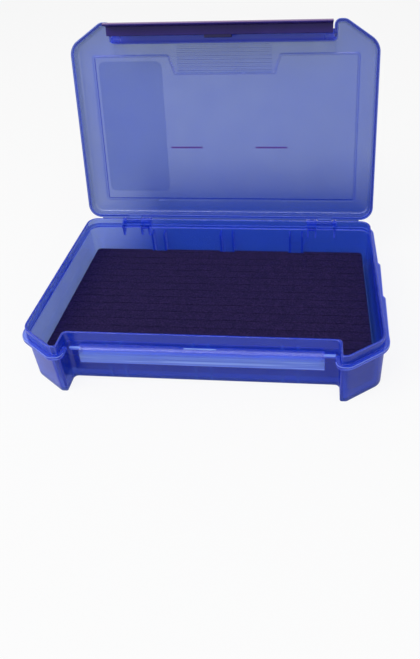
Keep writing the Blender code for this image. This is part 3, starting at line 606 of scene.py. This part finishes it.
def pick(piece, kind, test):
    """In edit mode, select the faces or edges that pass a test."""
    only(piece)
    bpy.ops.object.mode_set(mode="EDIT")
    bpy.ops.mesh.select_mode(type=kind)
    bpy.ops.mesh.select_all(action="DESELECT")
    mesh = bmesh.from_edit_mesh(piece.data)
    found = [item for item in (mesh.edges if kind == "EDGE" else mesh.faces) if test(item)]
    if not found:
        raise RuntimeError(f"{piece.name} has nothing that passes the test")
    for item in found:
        item.select_set(True)
    mesh.select_flush_mode()
    bmesh.update_edit_mesh(piece.data)


def slice_off(piece, point, normal):
    """Cut all that lies in front of a plane away and close the cut."""
    pick(piece, "FACE", lambda face: True)
    bpy.ops.mesh.bisect(plane_co=Vector(point) * MM, plane_no=normal, use_fill=True, clear_outer=True)
    object_mode()


def round_edges(piece, test, width, segments):
    """Round the edges that pass a test."""
    pick(piece, "EDGE", test)
    bpy.ops.mesh.bevel(offset=width * MM, segments=segments, affect="EDGES", clamp_overlap=False)
    object_mode()


def smooth(piece, degrees=35.0):
    """Smooth shading that leaves flat faces flat."""
    only(piece)
    bpy.ops.object.shade_smooth_by_angle(angle=math.radians(degrees))
    apply_modifier(piece, "WEIGHTED_NORMAL", keep_sharp=True, weight=60)


def mark_faces(piece, name, measure):
    """Give each face a number from its middle and its normal, for the finish to read."""
    marks = piece.data.attributes.new(name, "FLOAT", "FACE")
    for face in piece.data.polygons:
        marks.data[face.index].value = measure(face.center / MM, face.normal)


def dress(piece, finish, body):
    piece.data.materials.clear()
    piece.data.materials.append(finish)
    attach(piece, body)


def redress(node, finish):
    """Give a CAD node another finish."""
    materials = frame["nodes"][node].data.materials
    materials.clear()
    materials.append(finish)


def stands_up(edge):
    a, b = (v.co for v in edge.verts)
    return abs(a.z - b.z) > 0.5 * (a - b).length


# Outlines seen from above

def mirrored(points):
    """A right half, back to front, followed by its left half, front to back."""
    return list(points) + [(-x, y) for x, y in reversed(points)]


def moved_in(corners, distance):
    """The corners where a closed outline's sides meet again once each has moved inwards."""
    count = len(corners)
    lines = []
    for index in range(count):
        a = Vector(corners[index])
        along = (Vector(corners[(index + 1) % count]) - a).normalized()
        lines.append((a + Vector((along.y, -along.x)) * distance, along))
    moved = []
    for index in range(count):
        p, u = lines[index - 1]
        q, v = lines[index]
        reach = ((q - p).x * v.y - (q - p).y * v.x) / (u.x * v.y - u.y * v.x)
        moved.append(p + u * reach)
    return moved


def outline(corners, radii, steps, inset):
    """One list of points for each corner's arc, on an outline moved inwards."""
    moved = moved_in(corners, inset)
    arcs = []
    for index, corner in enumerate(moved):
        before = (moved[index - 1] - corner).normalized()
        after = (moved[(index + 1) % len(moved)] - corner).normalized()
        bulges = before.x * after.y - before.y * after.x > 0
        radius = max(radii[index] - inset, 0.2) if bulges else radii[index]
        half = before.angle(after) / 2
        middle = corner + (before + after).normalized() * (radius / math.sin(half))
        start = corner + before * (radius / math.tan(half)) - middle
        sweep = (math.pi - 2 * half) * (-1 if bulges else 1)
        arcs.append([middle + Matrix.Rotation(sweep * step / steps[index], 2) @ start
                     for step in range(steps[index] + 1)])
    return arcs


RIM_HALF = 102.5
RECESS_HALF = 72.9
RIM_CORNERS = mirrored([(RIM_HALF, 67.7), (RIM_HALF, -52.6), (80.5, -67.7), (RECESS_HALF, -67.7),
                        (RECESS_HALF, -56.2)])
RIM_RADII = (9.0, 12.0, 6.0, 4.0, 2.5, 2.5, 4.0, 6.0, 12.0, 9.0)
RIM_STEPS = (14, 12, 9, 9, 8, 8, 9, 9, 12, 14)
RECESS_ARCS = (4, 5)
# The arcs that the grip steps follow, and each step's y and how far it stands out
GRIP_SIDES = (0, 8)
GRIPS = ((24.2, 0.0), (22.0, 1.2), (-8.8, 0.0), (-11.0, 1.2), (-41.8, 0.0))
# The arcs that the flange's ends follow, and each point's y and whether the recess's inset holds there
RECESS_SIDES = (3, 5)
FLANGE_END = ((-59.3, False), (-59.0, True))
PANEL_CORNERS = mirrored([(89.5, 55.5), (89.5, -45.4), (38.2, -45.4), (34.0, -33.5)])
PANEL_RADIUS = 1.4
GATE_MARK = (-0.4, 9.6)


def rim(z, inset, recess=None, grip=0.0):
    """The rim's outline at a height, with its own inset in the recess, and the grip steps."""
    recess = inset if recess is None else recess
    arcs = outline(RIM_CORNERS, RIM_RADII, RIM_STEPS, inset)
    inner = outline(RIM_CORNERS, RIM_RADII, RIM_STEPS, recess)
    ring = []
    for index in range(len(arcs)):
        side = 1 if index < RECESS_ARCS[1] else -1
        ring += [(p.x, p.y, z) for p in (inner if index in RECESS_ARCS else arcs)[index]]
        if index in GRIP_SIDES:
            ring += [(side * (RIM_HALF - inset + out * grip), y, z) for y, out in GRIPS[::side]]
        if index in RECESS_SIDES:
            ring += [(side * (RECESS_HALF + (recess if past else inset)), y, z)
                     for y, past in FLANGE_END[::side]]
    return ring


def panel_skin(name, levels):
    """A closed skin in the outline of the lid's panel, from heights and insets."""
    count = len(PANEL_CORNERS)
    rings = []
    for z, inset in levels:
        arcs = outline(PANEL_CORNERS, [PANEL_RADIUS] * count, [5] * count, inset)
        rings.append([(p.x, p.y, z) for arc in arcs for p in arc])
    return skin(name, rings)


def gate_disc(radius, low, high, flare):
    """A small upright disc on the lid's panel, wider at its top by a flare."""
    x, y = GATE_MARK
    turns = [math.tau * step / 20 for step in range(20)]
    return skin("gate_disc", [[(x + math.cos(a) * out, y - math.sin(a) * out, z) for a in turns]
                              for z, out in ((low, radius), (high, radius + flare))])


# Levels and profiles

# The tray, up its outside and down its inside: height, inset, the recess's own inset, share of the grips
TRAY_LEVELS = (
    (0.0, 3.9), (0.06, 3.58), (0.24, 3.30), (0.5, 3.14), (0.85, 3.08), (26.5, 2.53), (26.85, 2.40, 2.53),
    (27.0, 2.10, 2.52), (27.0, 0.36, 2.52, 1.0), (27.08, 0.12, 2.52, 1.0), (27.32, 0.0, 2.52, 1.0),
    (28.68, 0.0, 2.5, 1.0), (28.92, 0.12, 2.5, 1.0), (29.0, 0.36, 2.5, 1.0), (29.0, 2.10, 2.5),
    (29.14, 2.38, 2.5), (29.45, 2.5), (34.1, 2.5), (34.38, 2.56), (34.55, 2.74), (34.6, 2.98),
    (34.6, 3.36), (34.55, 3.58), (34.38, 3.74), (34.1, 3.8), (28.4, 3.8), (28.2, 3.84), (27.8, 4.06),
    (27.5, 4.12), (2.9, 4.68), (2.3, 4.76), (1.85, 4.92), (1.66, 5.1), (1.6, 5.3))
# The lid, down its inside and up its outside: height, inset. Then how far its rounded top goes in and up.
LID_LEVELS = (
    (36.5, 3.9), (36.44, 3.3), (36.2, 2.8), (35.8, 2.42), (35.3, 2.22), (29.75, 2.2), (29.45, 2.1),
    (29.3, 1.85), (29.3, 0.32), (29.38, 0.10), (29.6, 0.0), (31.0, 0.0), (31.22, 0.10), (31.3, 0.3),
    (31.38, 0.52), (31.6, 0.62), (35.6, 0.9))
LID_TOP = (3.0, 2.5)
# Profiles: y, z
LEDGE_OUTSIDE = [(RECESS_WALL, 26.6), (-54.5, 26.4), (-56.6, 25.5), (-57.9, 23.8), (-58.24, 21.6),
                 (-58.24, 16.9)]
LEDGE_INSIDE = [(RECESS_WALL, 23.5), (-55.0, 23.5), (-56.0, 22.9), (-56.54, 21.2), (-56.54, 16.9)]
FIN = [(64.4, 20.6), (66.0, 20.6), (72.6, 25.6), (74.2, 26.3), (74.8, 27.2), (74.8, 29.7), (74.55, 30.3),
       (73.55, 30.3), (73.3, 29.9), (72.7, 28.8), (70.5, 28.5), (64.4, 28.5)]
LID_ARM = [(66.3, 29.6), (69.0, 29.5), (71.6, 30.7), (67.4, 33.8), (66.3, 33.8)]
SLIM_BEAD = [(67.0, 29.45), (67.85, 29.5), (68.6, 30.4), (68.75, 30.8), (68.6, 31.05), (67.0, 31.2)]
FULL_BEAD = [(67.0, 29.4), (68.2, 29.4), (69.2, 30.2), (69.5, 30.7), (69.2, 31.05), (67.0, 31.2)]
LATCH_FOOT = [(-64.68, 8.3), (-64.10, 7.1), (-63.95, 6.92), (-63.7, 6.82), (-63.3, 6.8), (-62.95, 6.95),
              (-62.75, 7.3), (-62.7, 7.8)]
LATCH_HOOK = [(-62.7, 13.5), (-57.54, 14.2), (-57.28, 14.4), (-57.24, 15.9), (-57.4, 16.2), (-58.5, 16.2),
              (-62.2, 17.6)]
# A thumb ridge: its hump across, and the share of its height along X
RIDGE_HUMP = ((-0.86, 0.0), (-0.80, 0.40), (-0.55, 0.68), (-0.25, 0.79), (0.0, 0.82), (0.25, 0.79),
              (0.55, 0.68), (0.80, 0.40), (0.86, 0.0))
RIDGE_HEIGHTS = ((-33.4, 0.1), (-32.2, 0.9), (-31.6, 1.0), (31.6, 1.0), (32.2, 0.9), (33.4, 0.1))
PANEL_TOP = 37.7


# The pieces

class SLITCASE_OT_tray(Operator):
    """Model the tray: drafted walls, flange, lip, ledge, ribs, knuckles, fins and heels"""

    bl_idname = "slit_case.tray"
    bl_label = "Tray"

    def execute(self, context):
        tray = skin("tray_shell", [rim(*level) for level in TRAY_LEVELS])
        join_on(tray, *self.ledge(), *self.ribs(), *self.hinges())
        for side in SIDES:
            cut_out(tray, rod("pin_bore", BORE_RADIUS, side * 55.4, side * 78.4, HINGE_LINE))
        mark_faces(tray, "deep", self.depth_at)
        mark_faces(tray, "edge", self.highlight_at)
        smooth(tray)
        # A lit copy of the plastic: more clear and cloudy share than the lid's, as painted light
        plastic = blue_plastic("clear_blue_tray", (1.16, 1.18, 1.32), 1.04, ledge=True)
        dress(tray, plastic, "tray_body")
        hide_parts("tray")
        return {"FINISHED"}

    @staticmethod
    def depth_at(middle, normal):
        """1 at the hinge knuckles, their webs and fins."""
        at_hinge = middle.y > 65.4 and 55.0 < abs(middle.x) < 78.0
        return float(at_hinge and (middle.z < 26.8 or middle.y > 67.75))

    @staticmethod
    def highlight_at(middle, normal):
        """Painted highlight: 1 on the flange edge's roundings, half on the lip's top and none at the ledge.
        """
        at_ledge = abs(middle.x) < 74.0 and -62.0 < middle.y < -53.0
        if at_ledge or not 0.05 < abs(normal.z) < 0.97:
            return 0.0
        on_flange = 27.0 < middle.z < 27.35 or 28.65 < middle.z < 29.0
        on_lip = middle.z > 34.3
        return on_flange + 0.5 * on_lip

    @staticmethod
    def ledge():
        """The catch ledge: a bent lip that hangs open below, its ends, end bits and middle ridge."""
        outer = flowing(LEDGE_OUTSIDE)
        inner = flowing(LEDGE_INSIDE)
        lip = bar("ledge", outer + [(-58.0, 16.55), (-57.4, 16.5), (-56.8, 16.55)] + inner[::-1],
                  -67.5, 67.5)
        ends = [bar("ledge_end", outer + [(-58.1, 16.5), (-52.5, 16.5)], side * 65.8, side * 67.5)
                for side in SIDES]
        bits = [soften(block("ledge_bit", (side * 66.5, -56.2, 23.7), (side * 73.4, RECESS_WALL, 25.5)), 0.3)
                for side in SIDES]
        ridge = soften(block("ledge_ridge", (-9.0, -55.4, 24.8), (9.0, RECESS_WALL, 26.6)), 0.3)
        return [lip], ends, bits, [ridge]

    @staticmethod
    def ribs():
        """Upright ribs in pairs on the back wall and on the recess wall."""
        return ([soften(block("rib", (x - 0.65, near, 0.8), (x + 0.65, far, 26.5)), 0.3)
                 for pair in RIB_PAIRS for x in (pair - RIB_OFF, pair + RIB_OFF)
                 for near, far in ((57.0, 64.2), (RECESS_WALL, -49.0))],)

    @staticmethod
    def hinges():
        """Base knuckles, their webs and fins, and the heels that the open lid rests on."""
        knuckles, webs, fins = [], [], []
        for side in SIDES:
            for start, end in ((56.4, 63.6), (74.6, 77.4)):
                knuckle = rod("base_knuckle", KNUCKLE_RADIUS, side * start, side * end, HINGE_LINE)
                knuckles.append(soften(knuckle, 0.3))
                webs.append(block("knuckle_web", (side * (start + 0.3), 64.4, 26.25),
                                  (side * (end - 0.3), 70.5, 28.2)))
            for start in (56.7, 62.1, 75.4):
                fins.append(bar("fin", FIN, side * start, side * (start + 1.2)))
        return knuckles, webs, fins


class SLITCASE_OT_lid(Operator):
    """Model the lid: rounded shell, sunk panel, thumb ridges, shelf, ears and knuckles"""

    bl_idname = "slit_case.lid"
    bl_label = "Lid"

    def execute(self, context):
        turns = [math.pi / 2 * step / 9 for step in range(1, 10)]
        height, inset = LID_LEVELS[-1]
        inwards, upwards = LID_TOP
        top = [(height + upwards * math.sin(turn), inset + inwards * (1 - math.cos(turn))) for turn in turns]
        lid = skin("lid_shell", [rim(*level) for level in (*LID_LEVELS, *top)])
        join_on(lid, *self.front(), *self.back())
        self.panel(lid)
        for side in SIDES:
            cut_out(lid, rod("pin_bore", BORE_RADIUS, side * 63.0, side * 75.2, HINGE_LINE))
            cut_out(lid, rod("pivot_bore", BORE_RADIUS, side * 69.2, side * 76.0, PIVOT_LINE))
        mark_faces(lid, "deep", self.depth_at)
        mark_faces(lid, "edge", self.highlight_at)
        smooth(lid)
        settle(lid, OPENING)
        # A shaded copy of the plastic: less clear and cloudy share than the tray's, as painted shade
        plastic = blue_plastic("clear_blue_lid", (0.96, 0.94, 0.93), 0.84)
        dress(lid, plastic, "lid_body")
        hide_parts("lid")
        return {"FINISHED"}

    @staticmethod
    def depth_at(middle, normal):
        """How thick the plastic looks at a face: 1 at the shelf and its wall, half at the steps."""
        if middle.y < -53.5 and abs(middle.x) < 73.4 and middle.z < 37.0:
            return 1.0 if abs(middle.x) < 66.0 else 0.85
        on_panel = abs(middle.x) < 91.0 and -47.0 < middle.y < 57.0 and 35.9 < middle.z < 38.09
        on_ridges = abs(middle.x) < 33.5 and middle.y < -34.0
        if on_panel and abs(normal.z) < 0.95 and not on_ridges:
            return 0.5
        return 0.0

    @staticmethod
    def highlight_at(middle, normal):
        """How much painted highlight a face gets: most on the rim edge's roundings, a little on the ridges.
        """
        if abs(middle.x) < 33.5 and -53.0 < middle.y < -33.9 and middle.z > 37.75:
            return 0.2
        on_edge = 29.3 < middle.z < 29.6 or 31.0 < middle.z < 31.6
        return 0.6 if on_edge and 0.05 < abs(normal.z) < 0.97 else 0.0

    @staticmethod
    def front():
        """The shelf over the catch ledge and the ears that carry the latch's stubs."""
        shelf = soften(block("shelf", (-66.8, -61.0, 27.0), (66.8, -55.1, 30.8)), 0.35, 3)
        ends = [soften(block("shelf_end", (side * 66.6, -61.0, 27.0), (side * 72.5, -55.1, 30.8)), 0.35, 3)
                for side in SIDES]
        ears = [soften(rod("ear", EAR_RADIUS, side * 70.2, side * 74.0, PIVOT_LINE), 0.25) for side in SIDES]
        feet = [block("ear_foot", (side * 70.4, -61.4, 30.2), (side * 73.8, -57.8, 33.0)) for side in SIDES]
        ribs = [soften(block("lid_rib", (side * 73.7, -56.5, 36.0), (side * 75.0, -46.0, 37.0)), 0.35)
                for side in SIDES]
        return [shelf], ends, ears, feet, ribs

    @staticmethod
    def back():
        """Hinge knuckles with their arms, and the bead that covers the joint behind the rim."""
        knuckles = [soften(rod("lid_knuckle", KNUCKLE_RADIUS, side * 64.0, side * 74.2, HINGE_LINE), 0.3)
                    for side in SIDES]
        arms = [soften(bar("lid_arm", LID_ARM, side * 64.2, side * 74.0), 0.25) for side in SIDES]
        # The bead is slim where the tray's knuckles and fins are near, and full elsewhere
        full = [bar("rim_bead", FULL_BEAD, start, end)
                for start, end in ((-56.4, 56.4), (-93.0, -77.6), (77.6, 93.0))]
        slim = [bar("rim_bead", SLIM_BEAD, side * start, side * end) for side in SIDES
                for start, end in ((58.2, 61.8), (63.6, 64.4), (73.8, 75.1), (76.9, 77.7))]
        return knuckles, arms, full, slim

    @staticmethod
    def panel(lid):
        """The sunk panel, its step inside, and the ridges of the thumb place."""
        cut_out(lid, panel_skin("panel_cutter", (
            (37.6, 0.95), (37.63, 0.82), (38.05, 0.12), (38.12, -0.02), (38.6, -0.1))))
        ridges = [skin("ridge", [[(x, -34.95 - index * 2.4 + out, PANEL_TOP + up * share)
                                  for out, up in RIDGE_HUMP] for x, share in RIDGE_HEIGHTS])
                  for index in range(8)]
        step = panel_skin("inner_panel", ((36.0, -0.30), (36.04, -0.42), (36.46, -1.08), (36.9, -1.2)))
        join_on(lid, ridges, [step])
        # The mould's gate mark: a small dimple with a nub in its middle
        cut_out(lid, gate_disc(1.3, 37.42, 37.9, 0.15))
        join_on(lid, [gate_disc(0.45, 37.2, 37.52, -0.08)])


class SLITCASE_OT_latch(Operator):
    """Model the latch bar: grooved face, hook, top lip, arms, stubs and thumb tab"""

    bl_idname = "slit_case.latch"
    bl_label = "Latch bar"

    def execute(self, context):
        latch = soften(bar("latch_bar", self.profile(), -71.5, 71.5), 0.22, 2, 50.0)
        arms = [soften(rod("latch_arm", EAR_RADIUS, side * 67.6, side * 69.9, PIVOT_LINE), 0.25)
                for side in SIDES]
        webs = [block("arm_web", (side * 67.8, -62.6, 31.3), (side * 69.7, -59.6, 34.7)) for side in SIDES]
        stubs = [soften(rod("stub", 1.0, side * 69.3, side * 74.4, PIVOT_LINE), 0.15) for side in SIDES]
        tab = soften(block("tab", (-9.3, -62.6, 33.2), (9.3, -57.9, 34.6)), 0.4, 3)
        hook_tab = soften(block("hook_tab", (-8.7, -58.4, 14.4), (8.7, -55.5, 15.9)), 0.3)
        join_on(latch, arms, webs, stubs, [tab], [hook_tab])
        mark_faces(latch, "edge", self.highlight_at)
        mark_faces(latch, "deep", self.groove_shade_at)
        smooth(latch)
        settle(latch, OPENING @ HANGING)
        dress(latch, latch_plastic(), "latch_body")
        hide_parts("latch")
        return {"FINISHED"}

    @staticmethod
    def highlight_at(middle, normal):
        """How much painted highlight the bar gets: most along its upper front edge, less at its foot."""
        if middle.z > 35.0 and middle.y < -62.5 and abs(normal.y) > 0.2 and abs(normal.z) > 0.3:
            return 0.7
        return 0.5 if middle.z < 8.2 and middle.y < -63.8 else 0.0

    @staticmethod
    def groove_shade_at(middle, normal):
        """Painted shade: 1 in the three grooves of the face and on the middle tabs."""
        nearest = min(abs(middle.z - z) for z in GROOVES)
        in_groove = middle.y < -62.9 and nearest < 0.7 and abs(normal.x) < 0.5
        on_tab = 33.1 < middle.z < 34.7 and middle.y > -61.0 or middle.y > -57.2
        return float(in_groove or on_tab and abs(middle.x) < 9.4)

    @staticmethod
    def profile():
        """The bar's section as it lies locked: down the grooved face, round the hook and up inside."""
        face = [(-59.0, 36.0), (-62.3, 36.0)]
        face += [(-62.4 + math.cos(a), 35.0 + math.sin(a)) for a in
                 (math.radians(d) for d in (112.5, 135.0, 157.5))]
        face.append((-63.4, 34.6))
        for middle in GROOVES:
            # The face leans out by 1.3 over its height of 26.4
            lean = -63.4 - 1.3 * (34.6 - middle) / 26.4
            for rise, cut in ((0.75, 0.0), (0.55, 0.22), (0.25, 0.5), (-0.25, 0.5), (-0.55, 0.22),
                              (-0.75, 0.0)):
                face.append((lean + cut, middle + rise))
        return face + LATCH_FOOT + LATCH_HOOK + [(-61.8, 33.0), (-61.8, 35.2), (-59.1, 35.2)]


class SLITCASE_OT_pins(Operator):
    """Give the hinge pins and the adhesive sheet their finishes"""

    bl_idname = "slit_case.pins"
    bl_label = "Pins and adhesive"

    def execute(self, context):
        steel = drawn_steel()
        redress("hinge_pin_left", steel)
        redress("hinge_pin_right", steel)
        redress("foam_adhesive", glue_film())
        return {"FINISHED"}


class SLITCASE_OT_foam(Operator):
    """Model the foam bed with its slits, rounded strip edges and rib notches"""

    bl_idname = "slit_case.foam"
    bl_label = "Foam bed"
    # In millimetres. Each front corner is cut off through a place, square to a facing, both as x and y.
    corner_place = (95.0, -48.40)
    corner_facing = (0.5662, -0.8242)
    recess_edge = -48.7
    pitch = 7.1
    slit_depth = 8.0
    wander = 0.28

    def execute(self, context):
        wants = context.scene.slit_case_foam
        low, high = (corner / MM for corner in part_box("slit_foam"))
        foam = block("foam_bed", low, high)
        self.trim(foam, low, high)
        self.slit(foam, high, wants.slits, wants.slit_width)
        top = (high.z - 0.1) * MM
        round_edges(foam, lambda e: (all(v.co.z > top for v in e.verts) and len(e.link_faces) == 2
                                     and e.calc_face_angle(0.0) > 0.9), 0.45, 2)
        smooth(foam, 40.0)
        dress(foam, dark_foam(), "tray_body")
        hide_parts("slit_foam")
        return {"FINISHED"}

    def trim(self, foam, low, high):
        """Fit the bed to the tray: slanting front corners, a recess and a notch for each rib pair."""
        (x, y), (facing_x, facing_y) = self.corner_place, self.corner_facing
        for side in SIDES:
            slice_off(foam, (side * x, y, low.z), (side * facing_x, facing_y, 0.0))
        round_edges(foam, stands_up, 2.6, 4)
        recess = block("recess_cutter", (-80.4, low.y - 1, low.z - 1), (80.4, self.recess_edge, high.z + 1))
        round_edges(recess, lambda e: stands_up(e) and e.verts[0].co.y > low.y * MM, 1.5, 4)
        cut_out(foam, recess)
        for pair in RIB_PAIRS:
            notch = block("notch_cutter", (pair - 5.5, high.y - 1.5, low.z - 1),
                          (pair + 5.5, high.y + 1, high.z + 1))
            round_edges(notch, lambda e: stands_up(e) and e.verts[0].co.y < high.y * MM, 0.5, 2)
            cut_out(foam, notch)

    def slit(self, foam, high, count, slit_width):
        """Cut the slits. Each one wanders a little and closes towards its foot."""
        half = slit_width / MM / 2
        middle = (high.y + self.recess_edge) / 2
        for index in range(count):
            y = middle + (index - (count - 1) / 2) * self.pitch
            blade = block("blade", (-high.x - 1, y - half, high.z - self.slit_depth),
                          (high.x + 1, y + half, high.z + 1))
            pick(blade, "EDGE", lambda e: abs(e.verts[0].co.x - e.verts[1].co.x) > high.x * MM)
            bpy.ops.mesh.subdivide(number_cuts=46)
            object_mode()
            for vert in blade.data.vertices:
                aside = noise.noise((vert.co.x * 42.0, index * 3.7, 0.0)) * self.wander * MM
                open_by = 0.85 + 0.5 * noise.noise((vert.co.x * 90.0, index * 5.1, 4.0))
                at_foot = vert.co.z < high.z * MM
                spread = (vert.co.y - y * MM) * (0.30 if at_foot else open_by)
                vert.co.y = y * MM + spread + aside
            cut_out(foam, blade)


class SLITCASE_OT_label(Operator):
    """Finish the blank label and lay the two thin stripes on the lid"""

    bl_idname = "slit_case.label"
    bl_label = "Label and stripes"

    def execute(self, context):
        redress("lid_label", paper_film())
        ink = stripe_ink()
        for word, start, end in (("left", -40.0, -17.5), ("right", 20.0, 42.3)):
            stripe = block(f"stripe_{word}", (start, 16.7, 37.62), (end, 17.9, 37.70))
            round_edges(stripe, stands_up, 0.15, 2)
            settle(stripe, OPENING)
            smooth(stripe)
            dress(stripe, ink, "lid_body")
        return {"FINISHED"}


class SLITCASE_OT_studio(Operator):
    """Set the pale floor, the soft lamps, the even sky and the camera"""

    bl_idname = "slit_case.studio"
    bl_label = "Studio"

    def execute(self, context):
        wants = context.scene.slit_case_studio
        scene = context.scene
        deselect()
        bpy.ops.mesh.primitive_circle_add(vertices=96, radius=4.0, fill_type="NGON")
        floor = context.object
        floor.name = "floor"
        floor.data.materials.append(self.pale_floor(wants))

        scene.world = bpy.data.worlds.new("studio")
        graph = Graph(scene.world, "ShaderNodeOutputWorld")
        strength = wants.sky + self.plain_sight(graph) * (1.0 - wants.sky)
        graph.show("Surface", graph.node("Background", {}, {"Color": (1, 1, 1, 1), "Strength": strength}))

        for name, place, size, power in (
                ("key_lamp", (-0.75, -0.55, 0.95), 0.9, wants.key),
                ("fill_lamp", (0.85, -0.75, 0.60), 0.9, wants.fill),
                ("top_lamp", (0.05, -0.30, 0.85), 0.6, wants.top)):
            lamp = bpy.data.lights.new(name, "AREA")
            lamp.energy = power
            lamp.size = size
            holder = bpy.data.objects.new(name, lamp)
            scene.collection.objects.link(holder)
            holder.location = place
            aim = Vector((0.0, 0.02, 0.05)) - holder.location
            holder.rotation_euler = aim.to_track_quat("-Z", "Y").to_euler()
        self.place_camera(scene)
        scene.view_settings.view_transform = "Standard"
        return {"FINISHED"}

    @staticmethod
    def pale_floor(wants):
        """A floor, white in plain sight, that the plastic shows with painted pools of light and the case's
        painted blue shade.
        """
        graph = finish_named("pale_floor")
        straight = graph.ray("Is Camera Ray")
        across, out, _ = graph.place_parts()
        # Painted light: pools of light on the left and at the back, the back one brighter to the left
        left = graph.span(across, -0.05, -0.12)
        back = graph.span(out, 0.10, 0.26) * (graph.span(across, 0.20, -0.20) * 0.14 + 0.86)
        # Seen through two walls or more, the floor has to make up for what the first one takes
        twice = graph.span(graph.ray("Transmission Depth"), 2.5, 3.5) * graph.span(out, -0.04, 0.04)
        bright = left.most(back).most(straight).most(twice)
        pale = graph.mix_colour(graph.noise(300.0, detail=3.0), [c * 0.98 for c in wants.floor_colour],
                                wants.floor_colour)
        matt = graph.principled(pale, 0.9, {"Specular IOR Level": 0.0})
        glow = graph.node("Emission", {}, {
            "Color": graph.mix_colour(bright, wants.shade_colour, (1, 1, 1)), "Strength": 1.0})
        share = straight * 0.88 + graph.ray("Is Transmission Ray") * 0.95
        return graph.show("Surface", graph.mix_shader(share, matt, glow))

    @staticmethod
    def plain_sight(graph):
        """1 for what the camera sees straight, in a gloss or through the plastic, 0 for lamplight."""
        total = graph.ray("Is Camera Ray") + graph.ray("Is Glossy Ray") + graph.ray("Is Transmission Ray")
        return total.least(1.0)

    @staticmethod
    def place_camera(scene):
        """The photograph's view of the open case, for a frame 420 wide and 659 high."""
        yaw, pitch, roll = (math.radians(v) for v in (-6.027, 32.066, 2.506))
        turned = (Matrix.Rotation(-yaw, 4, "Z") @ Matrix.Rotation(math.pi / 2 - pitch, 4, "X")
                  @ Matrix.Rotation(-roll, 4, "Z"))
        eye = Vector((58.909, -284.577, 253.111)) * MM
        camera = bpy.data.cameras.new("camera")
        holder = bpy.data.objects.new("camera", camera)
        scene.collection.objects.link(holder)
        holder.matrix_world = Matrix.Translation(eye) @ turned
        camera.sensor_width = 36.0
        camera.lens = 32.085
        camera.shift_x = -0.07249
        camera.shift_y = -0.16321
        camera.clip_start = 0.01
        scene.camera = holder


class SLITCASE_PT_sidebar(Panel):
    """Settings and steps of the slit foam case"""

    bl_idname = "SLITCASE_PT_sidebar"
    bl_label = "Slit Foam Case"
    bl_space_type = "VIEW_3D"
    bl_region_type = "UI"
    bl_category = "Slit Case"

    def draw(self, context):
        for name, group in SETTINGS:
            box = self.layout.box()
            box.label(text=name.split("_")[-1].title())
            for setting in group.__annotations__:
                box.prop(getattr(context.scene, name), setting)
        for step in STEPS:
            self.layout.operator(step.bl_idname)


STEPS = (SLITCASE_OT_tray, SLITCASE_OT_lid, SLITCASE_OT_latch, SLITCASE_OT_pins, SLITCASE_OT_foam,
         SLITCASE_OT_label, SLITCASE_OT_studio)
SETTINGS = (("slit_case_plastic", PlasticSettings), ("slit_case_foam", FoamSettings),
            ("slit_case_studio", StudioSettings))


def register():
    for name, group in SETTINGS:
        bpy.utils.register_class(group)
        setattr(bpy.types.Scene, name, PointerProperty(type=group))
    for step in STEPS:
        bpy.utils.register_class(step)
    bpy.utils.register_class(SLITCASE_PT_sidebar)


def unregister():
    bpy.utils.unregister_class(SLITCASE_PT_sidebar)
    for step in reversed(STEPS):
        bpy.utils.unregister_class(step)
    for name, group in reversed(SETTINGS):
        delattr(bpy.types.Scene, name)
        bpy.utils.unregister_class(group)


def main():
    register()
    for step in STEPS:
        group, name = step.bl_idname.split(".")
        getattr(getattr(bpy.ops, group), name)()


if __name__ == "__main__":
    main()
